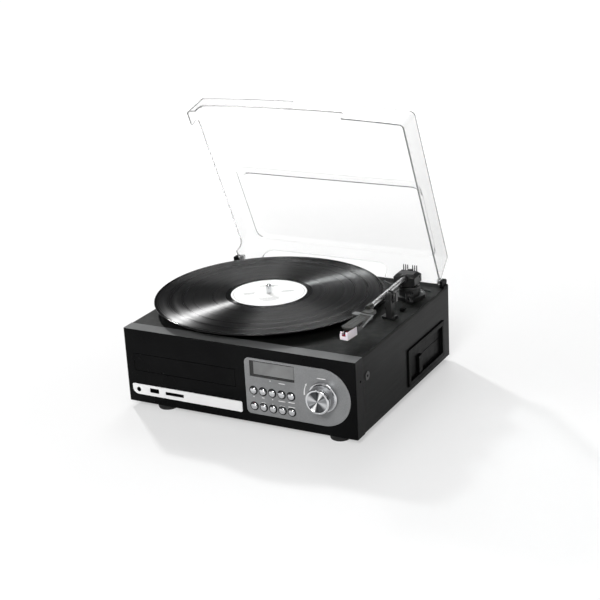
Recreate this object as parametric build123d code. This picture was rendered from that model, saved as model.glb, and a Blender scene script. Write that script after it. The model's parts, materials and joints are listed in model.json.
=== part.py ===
from build123d import *

import math
import os

# A compact record player with a disc drawer, a cassette slot, a radio display and a clear cover.
# Millimetres. X runs right, Y runs back, Z runs up. It is drawn about the middle of the cabinet,
# with the floor at zero, and moved at the end to put the origin under the middle of its box.

# Cabinet
CASE_W = 328
CASE_D = 288
CASE_H = 100
FOOT_H = 7
FOOT_R = 14
FOOT_TAPER = 1.5
FOOT_INSET_LEFT = 50
FOOT_INSET_RIGHT = 30
FOOT_INSET_FRONT = 14
FOOT_INSET_REAR = 20
PANEL_DEPTH = 20
PANEL_WALL = 4
WOOD = 12
SHELL_INSET = 1
SEAM_GAP = 0.3
DECK_T = 3
BASE_T = 3
BATTEN = 10
CASE_EDGE = 1.5

# Clearances
RUN_FIT = 0.05
GAP = 0.3

# How far a cut runs past the face that it opens, or a joined form into the next
OVER = 1

# Base screws, the board that they clear and its posts
SCREW_R = 1.6
SCREW_HEAD_R = 3.2
SCREW_HEAD_H = 2
SCREW_LENGTH = 9
SIDE_SCREW_YS = (-85, 10)
REAR_SCREW_XS = (-80, 60)
BOARD_INSET = 16
BOARD_CLEAR = 19
BOARD_REAR = 28
BOARD_D = 74
BOARD_T = 1.6
POST_R = 3
POST_H = 6
POST_INSET = 7
TRANSFORMER = (46, 38, 36)
HEAT_SINK = (50, 4, 30)
CAPACITOR_R = 7
CAPACITOR_H = 24
VENT_COUNT = 6
VENT_PITCH = 9
VENT_W = 3
VENT_LENGTH = 40

# Deck pocket around the tonearm and the two switches
POCKET_MARGIN = 1.5
POCKET_END_MARGIN = 6
POCKET_DEPTH = 1.2
POCKET_R = 8

# Record, mat, platter and drive; heights are above the deck
DISC_TO_PIVOT_X = 164
DISC_TO_PIVOT_Y = 83.5
RECORD_R = 150.8
RECORD_TOP = 13
RECORD_BOTTOM = 11.4
GROOVE_DIP = 0.3
LABEL_R = 50
LABEL_T = 0.2
BEAD_W = 3.3
MAT_R = 98
MAT_T = 2
PLATTER_R = 100
PLATTER_PLATE = 3
PLATTER_WALL = 3
PLATTER_LIFT = 1.5
DRIVE_RING_R = 60
HUB_R = 12
SPINDLE_R = 3.55
SPINDLE_RISE = 12
SPINDLE_DOME = 3
COLLAR_R = 8
COLLAR_H = 3
FLANGE_R = 10
FLANGE_H = 3
BELT_T = 0.8
BELT_H = 3.4
BELT_RISE = 0.5
MOTOR_DISTANCE = 80
MOTOR_ANGLE = 135
MOTOR_R = 16
MOTOR_H = 22
MOTOR_SHAFT_R = 1.5
PULLEY_R = 6
PULLEY_LIP = 1.2
PULLEY_HOLE_R = 8

# Tonearm; heights are above the deck
PIVOT_INSET_X = 33
PIVOT_INSET_Y = 56
TUBE_R = 3
TUBE_BORE_R = 2.2
TUBE_Z_PIVOT = 30
TUBE_Z_END = 28.5
TUBE_SIDE = 3.5
TUBE_REACH = 132
ARM_BASE_R = 20.5
ARM_BASE_H = 4
ARM_BASE_DISH = 1
ARM_RIM = 2.5
PEDESTAL_R = 14
PEDESTAL_TOP = 11.7
STUB_R = 5
STUB_BOTTOM = 1
YOKE_T = 3
YOKE_W = 20
YOKE_DEPTH = 7
CHEEK_T = 3.7
CHEEK_TOP = 30.5
HUB_W = 30
HUB_FRONT = 16
HUB_REAR = 6.4
HUB_BOTTOM = 18
HUB_TOP = 34.4
HUB_CHAMFER = 4
HUB_ROOF = 2.9
HUB_WALL = 1.2
HUB_UNDERCUT = 3
PIN_R = 1.5
PIN_Z = 28
PIN_INSET = 1
ARM_COLLAR_R = 5.5
ARM_COLLAR_L = 6
TUBE_SEAT = 8
LEAD_BLOCK = (6, 4, 5)
LEAD_RISE = 0.2

# Headshell, in its own frame: origin at its rear centre on the deck, front along minus Y
HEAD_SIDE = 4.5
HEAD_SETBACK = 6
HEAD_TURN = -5
HEAD_W = 15
HEAD_LENGTH = 56
HEAD_TOP = 26.4
HEAD_T = 2.2
HEAD_R = 5
HEAD_LIP_H = 3.3
HEAD_LIP_T = 1.2
HEAD_LIP_LENGTH = 22
NECK_W = 13
NECK_BACK = 6
NECK_FRONT = 8
NECK_TOP = 29
NECK_COLLAR_R = 4.2
NECK_COLLAR_L = 10
LIFT_ROD_R = 0.9
LIFT_ROD_L = 24
LIFT_ROD_DROP = 6
LIFT_ROD_CLEAR = 2.3
LIFT_TAB_W = 9
LIFT_TAB_L = 8
CARTRIDGE_W = 12
CARTRIDGE_BACK = 28
CARTRIDGE_STEP = 41
CARTRIDGE_FRONT = 56
CARTRIDGE_BOTTOM = 16.5
CARTRIDGE_SHIFT = 2
STYLUS_W = 6
STYLUS_T = 0.9
STYLUS_TAB_W = 6
STYLUS_TAB_L = 4.5
STYLUS_TAB_TOP = 18
STYLUS_TIP_Y = 53
STYLUS_TIP_Z = 14.8
STYLUS_TIP_R = 0.5
STYLUS_POINT_R = 0.1
GUARD_W = 11
GUARD_BACK = 42
GUARD_FRONT = 64
GUARD_T = 0.9
GUARD_BOTTOM = 13.6
GUARD_SHORT = 18
GUARD_TOP = 23.9
GUARD_LEFT_TOP = 21
GUARD_NOTCH = 5

# Cue platform and lever
CUE_R = 34
CUE_W = 2
CUE_T = 2
CUE_FROM = -6
CUE_TO = 46
CUE_ROD_ANGLE = 20
CUE_ROD_R = 1.5
CUE_ROD_DEPTH = 10
CUE_BOSS_R = 4
FRONT_ANGLE = -90
LEVER_SIDE = 8.5
LEVER_FORWARD = 19
LEVER_TURN = 30
LEVER_LENGTH = 20
LEVER_R = 1.5
LEVER_KNOB_R = 2.2
LEVER_HUB_R = 3.5
LEVER_HUB_W = 5
LEVER_PIN_R = 1.2
LEVER_Z = 7
EAR_T = 2
EAR_MARGIN = 1

# Arm rest and its clip
REST_SIDE = 8
REST_FORWARD = 80
REST_FOOT_W = 18
REST_FOOT_H = 3
REST_DEPTH = 10
REST_POST_W = 7.5
REST_TOP = 34.2
REST_SHELF_REACH = 11.5
REST_SHELF_T = 2
CLIP_W = 5.4
CLIP_PIN_R = 1.2
CLIP_PIN_Z = 23
CLIP_HUB_R = 2.6
CLIP_REACH = 11.5
CLIP_RISE = 11
CLIP_T = 1.6
CLIP_HOOK = 2.4

# Two slide switches in the pocket
SWITCH_FORWARD = 52
SPEED_SIDE = 13
SPEED_TRAVEL = 8
STOP_SIDE = -7
STOP_TRAVEL = 5
SWITCH_W = 5
SWITCH_L = 7
SWITCH_TOP = 3
SWITCH_STEM = 3

# Clear cover, drawn closed; heights are above the deck
COVER_INSET = 8
COVER_T = 2.4
COVER_SETBACK = 20.5
COVER_REAR_INSET = 4
COVER_RIM = 0.5
COVER_DEPTH = 37
COVER_EDGE = 2
COVER_CORNER = 7
FRONT_SLANT = 6
REAR_SLANT = 13
FRONT_BOW = 5
RAISE_H = 7
RAISE_INSET = 18
RAISE_SETBACK = 120.5
RAISE_RAMP = 16
RAISE_REAR_INSET = 1
RAISE_SLOPE = 3
RAISE_CORNER = 14
HINGE_INSET = 4.25
HINGE_Z = 5
HINGE_PIN_R = 2.5
HINGE_BOSS_R = 4.5
HINGE_BOSS_L = 6
OPEN_ANGLE = 66
SIDE_CUT_H = 17.5
SIDE_CUT_FRONT = 24
SIDE_CUT_REAR = 17
FRONT_CUT_H = 15.5
FRONT_CUT_INSET = 14
FRONT_CUT_REACH = 105
REAR_CUT_H = 20
REAR_CUT_INSET = 36
REAR_CUT_REACH = 107
CUT_R = 8
REAR_CUT_R = 15
BRACKET_GAP = 0.6
BRACKET_T = 4
BRACKET_FOOT = 6.2
BRACKET_FOOT_T = 2
BRACKET_INSET = 16

# Silver control panel; heights from here on are above the cabinet's bottom
CONTROL_X0 = 13
CONTROL_MIDDLE_INSET = 44.5
CONTROL_MIDDLE_Z = 49
CONTROL_R = 37
CONTROL_CORNER = 6.5
INLAY_DEPTH = 1.5
INLAY_T = 2
INLAY_GAP = 0.2
WINDOW_INSET = 7
WINDOW_W = 62
WINDOW_Z0 = 62
WINDOW_Z1 = 83
WINDOW_T = 1.2
BUTTON_COUNT = 5
BUTTON_INSET = 11
BUTTON_PITCH = 13.05
BUTTON_ROWS = (43.5, 22.6)
BUTTON_R = 4.5
BUTTON_RISE = 2.5
BUTTON_FLANGE_R = 6
BUTTON_FLANGE_T = 1
BUTTON_TRAVEL = 1.5
BUTTON_DOME = 1
KNOB_INSET = 43
KNOB_Z = 50.5
KNOB_SKIRT_R = 19
KNOB_SKIRT_T = 3
KNOB_BACK_R = 17.2
KNOB_FACE_R = 16
KNOB_RISE = 18
KNOB_DISH_R = 12.5
KNOB_DISH = 0.8
KNOB_EDGE = 1.2
KNOB_MARK = 1.2
SHAFT_R = 3
BUSH_R = 4.4
POT_SIZE = 18
POT_DEPTH = 8
PANEL_BOARD_GAP = 4
PANEL_BOARD_MARGIN = 5
PANEL_BOARD_INSET = 15
PANEL_BOARD_Z0 = 15
PANEL_BOARD_Z1 = 84
PANEL_POST_INSET = 4
KEY_SIZE = 6

# Disc drawer
DOOR_INSET = 13
DOOR_SIDE = 5
DOOR_Z0 = 44
DOOR_Z1 = 67
DOOR_GAP = 0.4
TRAY_W = 129
TRAY_Z0 = 51
TRAY_T = 8
TRAY_LENGTH = 146
TRAY_DISC_R = 60.8
TRAY_DISC_DEPTH = 4
TRAY_MARGIN = 4
TRAY_SLOT_R = 17
BAY_WALL = 2
BAY_Z0 = 43
BAY_Z1 = 69
BAY_LENGTH = 160
BAY_RAIL = 6
BAY_LEG = 10
BAY_LEG_INSET = 6
BAY_LEG_SETBACK = 40
DISC_MOTOR_R = 12
DISC_MOTOR_H = 4.5

# Port strip and its sockets
STRIP_INSET = 7
STRIP_CLEAR = 7
STRIP_Z0 = 11
STRIP_Z1 = 25
STRIP_R = 2
STRIP_BIG_R = 8
AUX_INSET = 9
AUX_Z = 17.5
AUX_R = 3
AUX_BORE_R = 1.75
USB_INSET = 33
USB_Z = 18.5
USB_W = 13.2
USB_H = 5.8
USB_WALL = 0.6
CARD_INSET = 63.5
CARD_Z = 18
CARD_W = 27
CARD_H = 4
CARD_SLOT = 2.4
PORT_BOARD_GAP = 2.4

# Cassette side
BEZEL_REAR = 21
BEZEL_LENGTH = 117
BEZEL_Z0 = 7
BEZEL_Z1 = 58
BEZEL_T = 2
BEZEL_BORDER = 4
BEZEL_FACE = 4
BEZEL_FACE_T = 3
BEZEL_R = 2
BEZEL_WALL = 2
FLAP_INSET_FRONT = 45
FLAP_INSET_REAR = 8
FLAP_Z0 = 15
FLAP_Z1 = 36
FLAP_T = 2.4
FLAP_PIN_R = 0.8
FLAP_PIN_L = 1.4
KEY_INSET = 33
KEY_W = 11
KEY_Z0 = 14
KEY_Z1 = 38
KEY_RISE = 3.5
KEY_BACK = 2
DECK_MECH_LENGTH = 106.7
DECK_MECH_FRONT = 40
DECK_MECH_REAR = 3
DECK_MECH_Z1 = 54
DECK_MECH_WALL = 3
SLOT_DEPTH = 105
SLOT_Z0 = 13
SLOT_Z1 = 38
REEL_R = 3
REEL_H = 7
REEL_INSET = 32
REEL_PITCH = 42.5
JACK_SETBACK = 33
JACK_Z = 71
JACK_R = 4
JACK_FLANGE_R = 5.5
JACK_FLANGE_T = 0.8
JACK_LENGTH = 15
JACK_BORE_R = 1.8
JACK_END = 1
DIMPLE_SETBACK = 13
DIMPLE_R = 1.5
DIMPLE_DEPTH = 1

# Back plate and sockets
BACK_INSET = 39
BACK_W = 130
BACK_Z0 = 18
BACK_Z1 = 68
BACK_T = 2
BACK_R = 4
BACK_BORDER = 6
PHONO_R = 4.2
PHONO_LENGTH = 8
PHONO_BODY = 12
PHONO_SHOULDER = 1
PHONO_BORE_R = 1.6
PHONO_PITCH = 14
PHONO_Z = 36
SPEAKER_INSET = 20
LINE_INSET = 60
INLET_INSET = 107
INLET_Z = 43
INLET_W = 24
INLET_H = 16
INLET_WALL = 2.5
INLET_DEPTH = 16
INLET_FLANGE = 2
INLET_FLANGE_T = 1
INLET_PIN_R = 1.2
INLET_PIN_X = 4.3
INLET_PIN_L = 8

# Derived planes and places
X_R = CASE_W / 2
Y_F = -CASE_D / 2
Y_B = CASE_D / 2
Z_B = FOOT_H
Z_T = FOOT_H + CASE_H
SHELL_X = X_R - SHELL_INSET
SHELL_Y0 = Y_F + PANEL_DEPTH + SEAM_GAP
SHELL_IN = SHELL_X - WOOD
DECK_Z0 = Z_T - DECK_T
DECK_FLOOR = Z_T - POCKET_DEPTH
BASE_TOP = Z_B + BASE_T
BASE_X = SHELL_IN - GAP
FOOT_XS = (FOOT_INSET_LEFT - X_R, X_R - FOOT_INSET_RIGHT)
FOOT_YS = (Y_F + FOOT_INSET_FRONT, Y_B - FOOT_INSET_REAR)
BASE_Y1 = Y_B - WOOD - GAP
WALL_BACK = Y_F + PANEL_WALL
INLAY_BACK = Y_F + INLAY_DEPTH
INLAY_FRONT = INLAY_BACK - INLAY_T
PIVOT_X = X_R - PIVOT_INSET_X
PIVOT_Y = Y_B - PIVOT_INSET_Y
DISC_X = PIVOT_X - DISC_TO_PIVOT_X
DISC_Y = PIVOT_Y - DISC_TO_PIVOT_Y
TUBE_END_X = PIVOT_X + TUBE_SIDE
TUBE_END_Y = PIVOT_Y - TUBE_REACH
HEAD_X = TUBE_END_X + HEAD_SIDE
HEAD_Y = TUBE_END_Y - HEAD_SETBACK
LEVER_X = PIVOT_X + LEVER_SIDE
LEVER_Y = PIVOT_Y - LEVER_FORWARD
REST_X = PIVOT_X + REST_SIDE
REST_Y = PIVOT_Y - REST_FORWARD
REST_SHELF_X = REST_X - REST_SHELF_REACH
SWITCH_Y = PIVOT_Y - SWITCH_FORWARD
SPEED_X = PIVOT_X + SPEED_SIDE
STOP_X = PIVOT_X + STOP_SIDE
POCKET_X0 = PIVOT_X - ARM_BASE_R - POCKET_MARGIN
POCKET_X1 = PIVOT_X + ARM_BASE_R + POCKET_MARGIN
POCKET_Y0 = REST_Y - REST_DEPTH / 2 - POCKET_END_MARGIN
POCKET_Y1 = PIVOT_Y + ARM_BASE_R + POCKET_END_MARGIN
PLATTER_TOP = RECORD_BOTTOM - MAT_T
MOTOR_X = DISC_X + MOTOR_DISTANCE * math.cos(math.radians(MOTOR_ANGLE))
MOTOR_Y = DISC_Y + MOTOR_DISTANCE * math.sin(math.radians(MOTOR_ANGLE))
BELT_Z0 = PLATTER_LIFT + BELT_RISE
PIVOT = (PIVOT_X, PIVOT_Y, Z_T + TUBE_Z_PIVOT)
TUBE_END = (TUBE_END_X, TUBE_END_Y, Z_T + TUBE_Z_END)
ARM_LINE = Vector(*TUBE_END) - Vector(*PIVOT)
ARM_DIRECTION = ARM_LINE.normalized()
HEAD_FRAME = Pos(HEAD_X, HEAD_Y, Z_T) * Rot(0, 0, HEAD_TURN)
LEVER_FRAME = Pos(LEVER_X, LEVER_Y, DECK_FLOOR) * Rot(0, 0, LEVER_TURN)
COVER_W = CASE_W - 2 * COVER_INSET
COVER_Y_FRONT = Y_F + COVER_SETBACK
COVER_Y_REAR = Y_B - COVER_REAR_INSET
RAISE_X = COVER_W / 2 - RAISE_INSET
RAISE_Y_FRONT = COVER_Y_FRONT + RAISE_SETBACK
SIDE_CUT_Y0 = COVER_Y_FRONT + SIDE_CUT_FRONT
SIDE_CUT_Y1 = COVER_Y_REAR - SIDE_CUT_REAR
FRONT_CUT_X0 = FRONT_CUT_INSET - COVER_W / 2
FRONT_CUT_X1 = DISC_X + FRONT_CUT_REACH
REAR_CUT_X0 = REAR_CUT_INSET - COVER_W / 2
REAR_CUT_X1 = DISC_X + REAR_CUT_REACH
HINGE_Y = Y_B - HINGE_INSET
HINGE_AXIS = Axis((0, HINGE_Y, Z_T + HINGE_Z), (-1, 0, 0))
BRACKET_X = COVER_W / 2 + BRACKET_GAP
BRACKET_Y0 = Y_B - BRACKET_INSET
CONTROL_MIDDLE_X = X_R - CONTROL_MIDDLE_INSET
KNOB_X = X_R - KNOB_INSET
WINDOW_X0 = CONTROL_X0 + WINDOW_INSET
WINDOW_X1 = WINDOW_X0 + WINDOW_W
BUTTON_X = CONTROL_X0 + BUTTON_INSET
PANEL_BOARD_X0 = CONTROL_X0 - PANEL_BOARD_MARGIN
PANEL_BOARD_X1 = X_R - PANEL_BOARD_INSET
TRAY_X = (PANEL_BOARD_X0 - SHELL_IN) / 2
TRAY_X0 = TRAY_X - TRAY_W / 2
TRAY_X1 = TRAY_X + TRAY_W / 2
DOOR_X0 = DOOR_INSET - X_R
DOOR_X1 = TRAY_X1 + DOOR_SIDE
STRIP_X0 = STRIP_INSET - X_R
STRIP_X1 = CONTROL_X0 - STRIP_CLEAR
AUX_X = STRIP_X0 + AUX_INSET
USB_X = STRIP_X0 + USB_INSET
CARD_X = STRIP_X0 + CARD_INSET
BEZEL_Y1 = Y_B - BEZEL_REAR
BEZEL_Y0 = BEZEL_Y1 - BEZEL_LENGTH
FLAP_Y0 = BEZEL_Y0 + FLAP_INSET_FRONT
FLAP_Y1 = BEZEL_Y1 - FLAP_INSET_REAR
KEY_Y0 = BEZEL_Y0 + KEY_INSET
KEY_Y1 = KEY_Y0 + KEY_W
JACK_Y = Y_F + JACK_SETBACK
DIMPLE_Y = Y_F + DIMPLE_SETBACK
DECK_MECH_X1 = SHELL_IN - GAP
DECK_MECH_X0 = DECK_MECH_X1 - DECK_MECH_LENGTH
DECK_MECH_Y0 = BEZEL_Y0 + DECK_MECH_FRONT
DECK_MECH_Y1 = BEZEL_Y1 - DECK_MECH_REAR
REEL_X = DECK_MECH_X0 + REEL_INSET
BOARD_X0 = BOARD_INSET - SHELL_IN
BOARD_X1 = DECK_MECH_X0 - BOARD_CLEAR
BOARD_Y1 = Y_B - BOARD_REAR
BOARD_Y0 = BOARD_Y1 - BOARD_D
BACK_X0 = BACK_INSET - X_R
BACK_X1 = BACK_X0 + BACK_W
SPEAKER_X = BACK_X0 + SPEAKER_INSET
LINE_X = BACK_X0 + LINE_INSET
INLET_X = BACK_X0 + INLET_INSET
BOARD_Z = BASE_TOP + POST_H
BAY_X0 = TRAY_X0 - GAP - BAY_WALL
BAY_X1 = TRAY_X1 + GAP + BAY_WALL
BAY_Y0 = WALL_BACK + GAP
BAY_LEG_X0 = BAY_X0 + BAY_LEG_INSET
FACE_X1 = SHELL_X + BEZEL_T - BEZEL_FACE
FACE_X0 = FACE_X1 - BEZEL_FACE_T
FLAP_X = (FACE_X0 + FACE_X1) / 2
FLAP_AXIS_Z = Z_B + FLAP_Z1 - GAP - FLAP_T / 2
BUSH_FRONT = WALL_BACK + GAP
PANEL_BOARD_Y0 = WALL_BACK + PANEL_BOARD_GAP


# Shape helpers
def block(x0, x1, y0, y1, z0, z1):
    """A box between three pairs of limits."""
    middle = Pos((x0 + x1) / 2, (y0 + y1) / 2, (z0 + z1) / 2)
    return middle * Box(x1 - x0, y1 - y0, z1 - z0)


def rod_x(x0, x1, y, z, r):
    """A round bar along X."""
    return Pos((x0 + x1) / 2, y, z) * Rot(0, 90, 0) * Cylinder(r, x1 - x0)


def rod_y(x, y0, y1, z, r):
    """A round bar along Y."""
    return Pos(x, (y0 + y1) / 2, z) * Rot(90, 0, 0) * Cylinder(r, y1 - y0)


def rod_z(x, y, z0, z1, r):
    """A round bar along Z."""
    return Pos(x, y, (z0 + z1) / 2) * Cylinder(r, z1 - z0)


def ring_z(x, y, z0, z1, r_out, r_in):
    """A round ring about Z."""
    return rod_z(x, y, z0, z1, r_out) - rod_z(x, y, z0, z1, r_in)


def rod_between(start, end, r):
    """A round bar from one point to another."""
    line = Vector(*end) - Vector(*start)
    return extrude(Plane(origin=start, z_dir=line) * Circle(r), amount=line.length)


def slab_y(outline, y0, y1):
    """An outline in X and Z, given thickness from y0 to y1."""
    plane = Plane(origin=(0, y1, 0), x_dir=(1, 0, 0), z_dir=(0, -1, 0))
    return extrude(plane * outline, amount=y1 - y0)


def slab_x(outline, x0, x1):
    """An outline in Y and Z, given thickness from x0 to x1."""
    plane = Plane(origin=(x0, 0, 0), x_dir=(0, 1, 0), z_dir=(1, 0, 0))
    return extrude(plane * outline, amount=x1 - x0)


def rounded(x0, x1, z0, z1, r):
    """A flat rectangle between limits, with round corners."""
    return Pos((x0 + x1) / 2, (z0 + z1) / 2) * RectangleRounded(x1 - x0, z1 - z0, r)


def arm_point(distance):
    """A point on the tube's axis, so far from the pivot."""
    return tuple(Vector(*PIVOT) + ARM_DIRECTION * distance)


# Cabinet
def screw_places():
    """Where the base screws go, as X and Y pairs."""
    side = SHELL_IN - BATTEN / 2
    places = [(sign * side, y) for sign in (-1, 1) for y in SIDE_SCREW_YS]
    places += [(x, Y_B - WOOD - BATTEN / 2) for x in REAR_SCREW_XS]
    return places


def cabinet_shell():
    """Two wooden sides and a back, with battens for the base and openings for the rest."""
    shell = block(-SHELL_X, SHELL_X, SHELL_Y0, Y_B, Z_B, DECK_Z0)
    shell = fillet(shell.edges().filter_by(Axis.Z).sort_by(Axis.Y)[-2:], CASE_EDGE)
    shell -= block(-SHELL_IN, SHELL_IN, SHELL_Y0 - OVER, Y_B - WOOD, Z_B - OVER, DECK_Z0 + OVER)
    for sign in (-1, 1):
        middle = sign * (SHELL_IN - BATTEN / 2)
        x0 = middle - BATTEN / 2
        shell += block(x0, x0 + BATTEN, SHELL_Y0 + BATTEN, DECK_MECH_Y0 - GAP, BASE_TOP, BASE_TOP + BATTEN)
    y0 = Y_B - WOOD - BATTEN
    x1 = REAR_SCREW_XS[1] + BATTEN
    shell += block(REAR_SCREW_XS[0] - BATTEN, x1, y0, Y_B - WOOD, BASE_TOP, BASE_TOP + BATTEN)
    for x, y in screw_places():
        shell -= rod_z(x, y, BASE_TOP, Z_B + SCREW_LENGTH, SCREW_R)
    inner = BEZEL_BORDER
    shell -= block(
        SHELL_IN - OVER, SHELL_X + OVER,
        BEZEL_Y0 + inner, BEZEL_Y1 - inner,
        Z_B + BEZEL_Z0 + inner, Z_B + BEZEL_Z1 - inner,
    )
    shell -= rod_x(SHELL_IN - OVER, SHELL_X + OVER, JACK_Y, Z_B + JACK_Z, JACK_R)
    edge = BACK_BORDER
    shell -= block(
        BACK_X0 + edge, BACK_X1 - edge,
        Y_B - WOOD - OVER, Y_B + OVER,
        Z_B + BACK_Z0 + edge, Z_B + BACK_Z1 - edge,
    )
    return shell


def control_outline(grow):
    """The silver panel's outline: round left corners and a half-circle on the right."""
    right = CONTROL_MIDDLE_X + CONTROL_CORNER + grow
    radius = CONTROL_R + grow
    middle = Z_B + CONTROL_MIDDLE_Z
    left = rounded(CONTROL_X0 - grow, right, middle - radius, middle + radius, CONTROL_CORNER + grow)
    return left + Pos(CONTROL_MIDDLE_X, middle) * Circle(radius)


def strip_outline(grow):
    """The port strip's outline, with one large corner at the bottom left."""
    x0 = STRIP_X0 - grow
    x1 = STRIP_X1 + grow
    z0 = Z_B + STRIP_Z0 - grow
    z1 = Z_B + STRIP_Z1 + grow
    face = Pos((x0 + x1) / 2, (z0 + z1) / 2) * Rectangle(x1 - x0, z1 - z0)
    corner = face.vertices().group_by(Axis.X)[0].sort_by(Axis.Y)[0]
    face = fillet(corner, STRIP_BIG_R)
    others = face.vertices().group_by(Axis.X)[-1] + face.vertices().group_by(Axis.Y)[-1].sort_by(Axis.X)[:1]
    return fillet(others, STRIP_R)


def button_places():
    """Button centres, row by row from the top, as X and Z pairs."""
    columns = [BUTTON_X + BUTTON_PITCH * n for n in range(BUTTON_COUNT)]
    return [(x, Z_B + row) for row in BUTTON_ROWS for x in columns]


def panel_post_places():
    """The four posts that carry the board behind the silver panel."""
    xs = (PANEL_BOARD_X0 + PANEL_POST_INSET, PANEL_BOARD_X1 - PANEL_POST_INSET)
    zs = (Z_B + PANEL_BOARD_Z0 + PANEL_POST_INSET, Z_B + PANEL_BOARD_Z1 - PANEL_POST_INSET)
    return [(x, z) for x in xs for z in zs]


def front_panel():
    """The glossy moulding that wraps the front corners and carries the ledge."""
    back = Y_F + PANEL_DEPTH
    panel = block(-X_R, X_R, Y_F, back, Z_B, Z_T)
    panel = fillet(panel.edges().filter_by(Axis.Z).sort_by(Axis.Y)[:2], CASE_EDGE)
    wall = PANEL_WALL
    panel -= block(-X_R + wall, X_R - wall, Y_F + wall, back + OVER, Z_B + wall, Z_T - wall)
    panel -= block(
        DOOR_X0 - DOOR_GAP, DOOR_X1 + DOOR_GAP,
        Y_F - OVER, WALL_BACK + OVER,
        Z_B + DOOR_Z0 - DOOR_GAP, Z_B + DOOR_Z1 + DOOR_GAP,
    )
    panel -= slab_y(control_outline(INLAY_GAP), Y_F - OVER, INLAY_BACK)
    panel -= slab_y(strip_outline(INLAY_GAP), Y_F - OVER, INLAY_BACK)
    for x, z in button_places():
        panel -= rod_y(x, INLAY_BACK - OVER, WALL_BACK + OVER, z, BUTTON_R + GAP)
    panel -= rod_y(KNOB_X, INLAY_BACK - OVER, WALL_BACK + OVER, Z_B + KNOB_Z, SHAFT_R + GAP)
    panel -= rod_y(AUX_X, INLAY_BACK - OVER, WALL_BACK + OVER, Z_B + AUX_Z, AUX_R + INLAY_GAP)
    panel -= socket_hole(USB_X, USB_Z, USB_W, USB_H, INLAY_BACK - OVER)
    panel -= socket_hole(CARD_X, CARD_Z, CARD_W, CARD_H, INLAY_BACK - OVER)
    for x, z in panel_post_places():
        panel += rod_y(x, WALL_BACK, PANEL_BOARD_Y0, z, POST_R)
    for x in port_post_places():
        z = Z_B + (STRIP_Z0 + STRIP_Z1) / 2
        panel += rod_y(x, WALL_BACK, WALL_BACK + PORT_BOARD_GAP, z, POST_R)
    panel -= rod_x(X_R - DIMPLE_DEPTH, X_R + OVER, DIMPLE_Y, Z_B + JACK_Z, DIMPLE_R)
    return panel


def socket_hole(x, z, width, height, y0):
    """The hole in the front wall for a flat socket."""
    half_w = width / 2 + INLAY_GAP
    half_h = height / 2 + INLAY_GAP
    return block(x - half_w, x + half_w, y0, WALL_BACK + OVER, Z_B + z - half_h, Z_B + z + half_h)


def port_post_places():
    """The two posts that carry the board behind the port strip."""
    return (CARD_X + CARD_W / 2 + 2 * POST_R, STRIP_X1 - 4 * POST_R)


def cue_rod_place():
    """Where the cue platform's rod goes through the deck."""
    angle = math.radians(CUE_ROD_ANGLE)
    return PIVOT_X - CUE_R * math.sin(angle), PIVOT_Y - CUE_R * math.cos(angle)


def deck_plate():
    """The flat deck with its pocket, holes, switch slots and the guide of the cue rod."""
    deck = block(-SHELL_X, SHELL_X, SHELL_Y0, Y_B, DECK_Z0, Z_T)
    deck = fillet(deck.edges().filter_by(Axis.Z).sort_by(Axis.Y)[-2:], CASE_EDGE)
    pocket = Pos(0, 0, DECK_FLOOR) * rounded(POCKET_X0, POCKET_X1, POCKET_Y0, POCKET_Y1, POCKET_R)
    deck -= extrude(pocket, amount=POCKET_DEPTH + OVER)
    deck -= rod_z(DISC_X, DISC_Y, DECK_Z0 - OVER, Z_T + OVER, SPINDLE_R + RUN_FIT)
    deck -= rod_z(MOTOR_X, MOTOR_Y, DECK_Z0 - OVER, Z_T + OVER, PULLEY_HOLE_R)
    for x, travel in ((SPEED_X, SPEED_TRAVEL), (STOP_X, STOP_TRAVEL)):
        half = SWITCH_STEM / 2 + GAP
        deck -= block(x - half, x + half, SWITCH_Y - half, SWITCH_Y + half + travel, DECK_Z0 - OVER, Z_T)
    x, y = cue_rod_place()
    deck += rod_z(x, y, DECK_FLOOR - CUE_ROD_DEPTH, DECK_Z0, CUE_BOSS_R)
    deck -= rod_z(x, y, DECK_FLOOR - CUE_ROD_DEPTH - OVER, Z_T, CUE_ROD_R + RUN_FIT)
    return deck


def board_post_places():
    """The four posts under the main board."""
    xs = (BOARD_X0 + POST_INSET, BOARD_X1 - POST_INSET)
    ys = (BOARD_Y0 + POST_INSET, BOARD_Y1 - POST_INSET)
    return [(x, y) for x in xs for y in ys]


def bottom_plate():
    """The base with its posts, vents and screw holes."""
    plate = block(-BASE_X, BASE_X, SHELL_Y0 + GAP, BASE_Y1, Z_B, BASE_TOP)
    for x, y in board_post_places():
        plate += rod_z(x, y, BASE_TOP, BOARD_Z, POST_R)
    for x, y in screw_places():
        plate -= rod_z(x, y, Z_B - OVER, BASE_TOP + OVER, SCREW_R)
    middle = (BOARD_X0 + BOARD_X1) / 2
    for n in range(VENT_COUNT):
        x = middle + (n - (VENT_COUNT - 1) / 2) * VENT_PITCH
        y = (BOARD_Y0 + BOARD_Y1) / 2
        plate -= block(
            x - VENT_W / 2, x + VENT_W / 2,
            y - VENT_LENGTH / 2, y + VENT_LENGTH / 2,
            Z_B - OVER, BASE_TOP + OVER,
        )
    return plate


def feet():
    """Four round feet."""
    group = None
    for x in FOOT_XS:
        for y in FOOT_YS:
            foot = Pos(x, y, Z_B / 2) * Cone(FOOT_R - FOOT_TAPER, FOOT_R, Z_B)
            group = foot if group is None else group + foot
    return group


def base_screws():
    """The screws that hold the base to the battens."""
    group = None
    for x, y in screw_places():
        screw = rod_z(x, y, Z_B, Z_B + SCREW_LENGTH, SCREW_R)
        screw += rod_z(x, y, Z_B - SCREW_HEAD_H, Z_B, SCREW_HEAD_R)
        group = screw if group is None else group + screw
    return group


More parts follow.
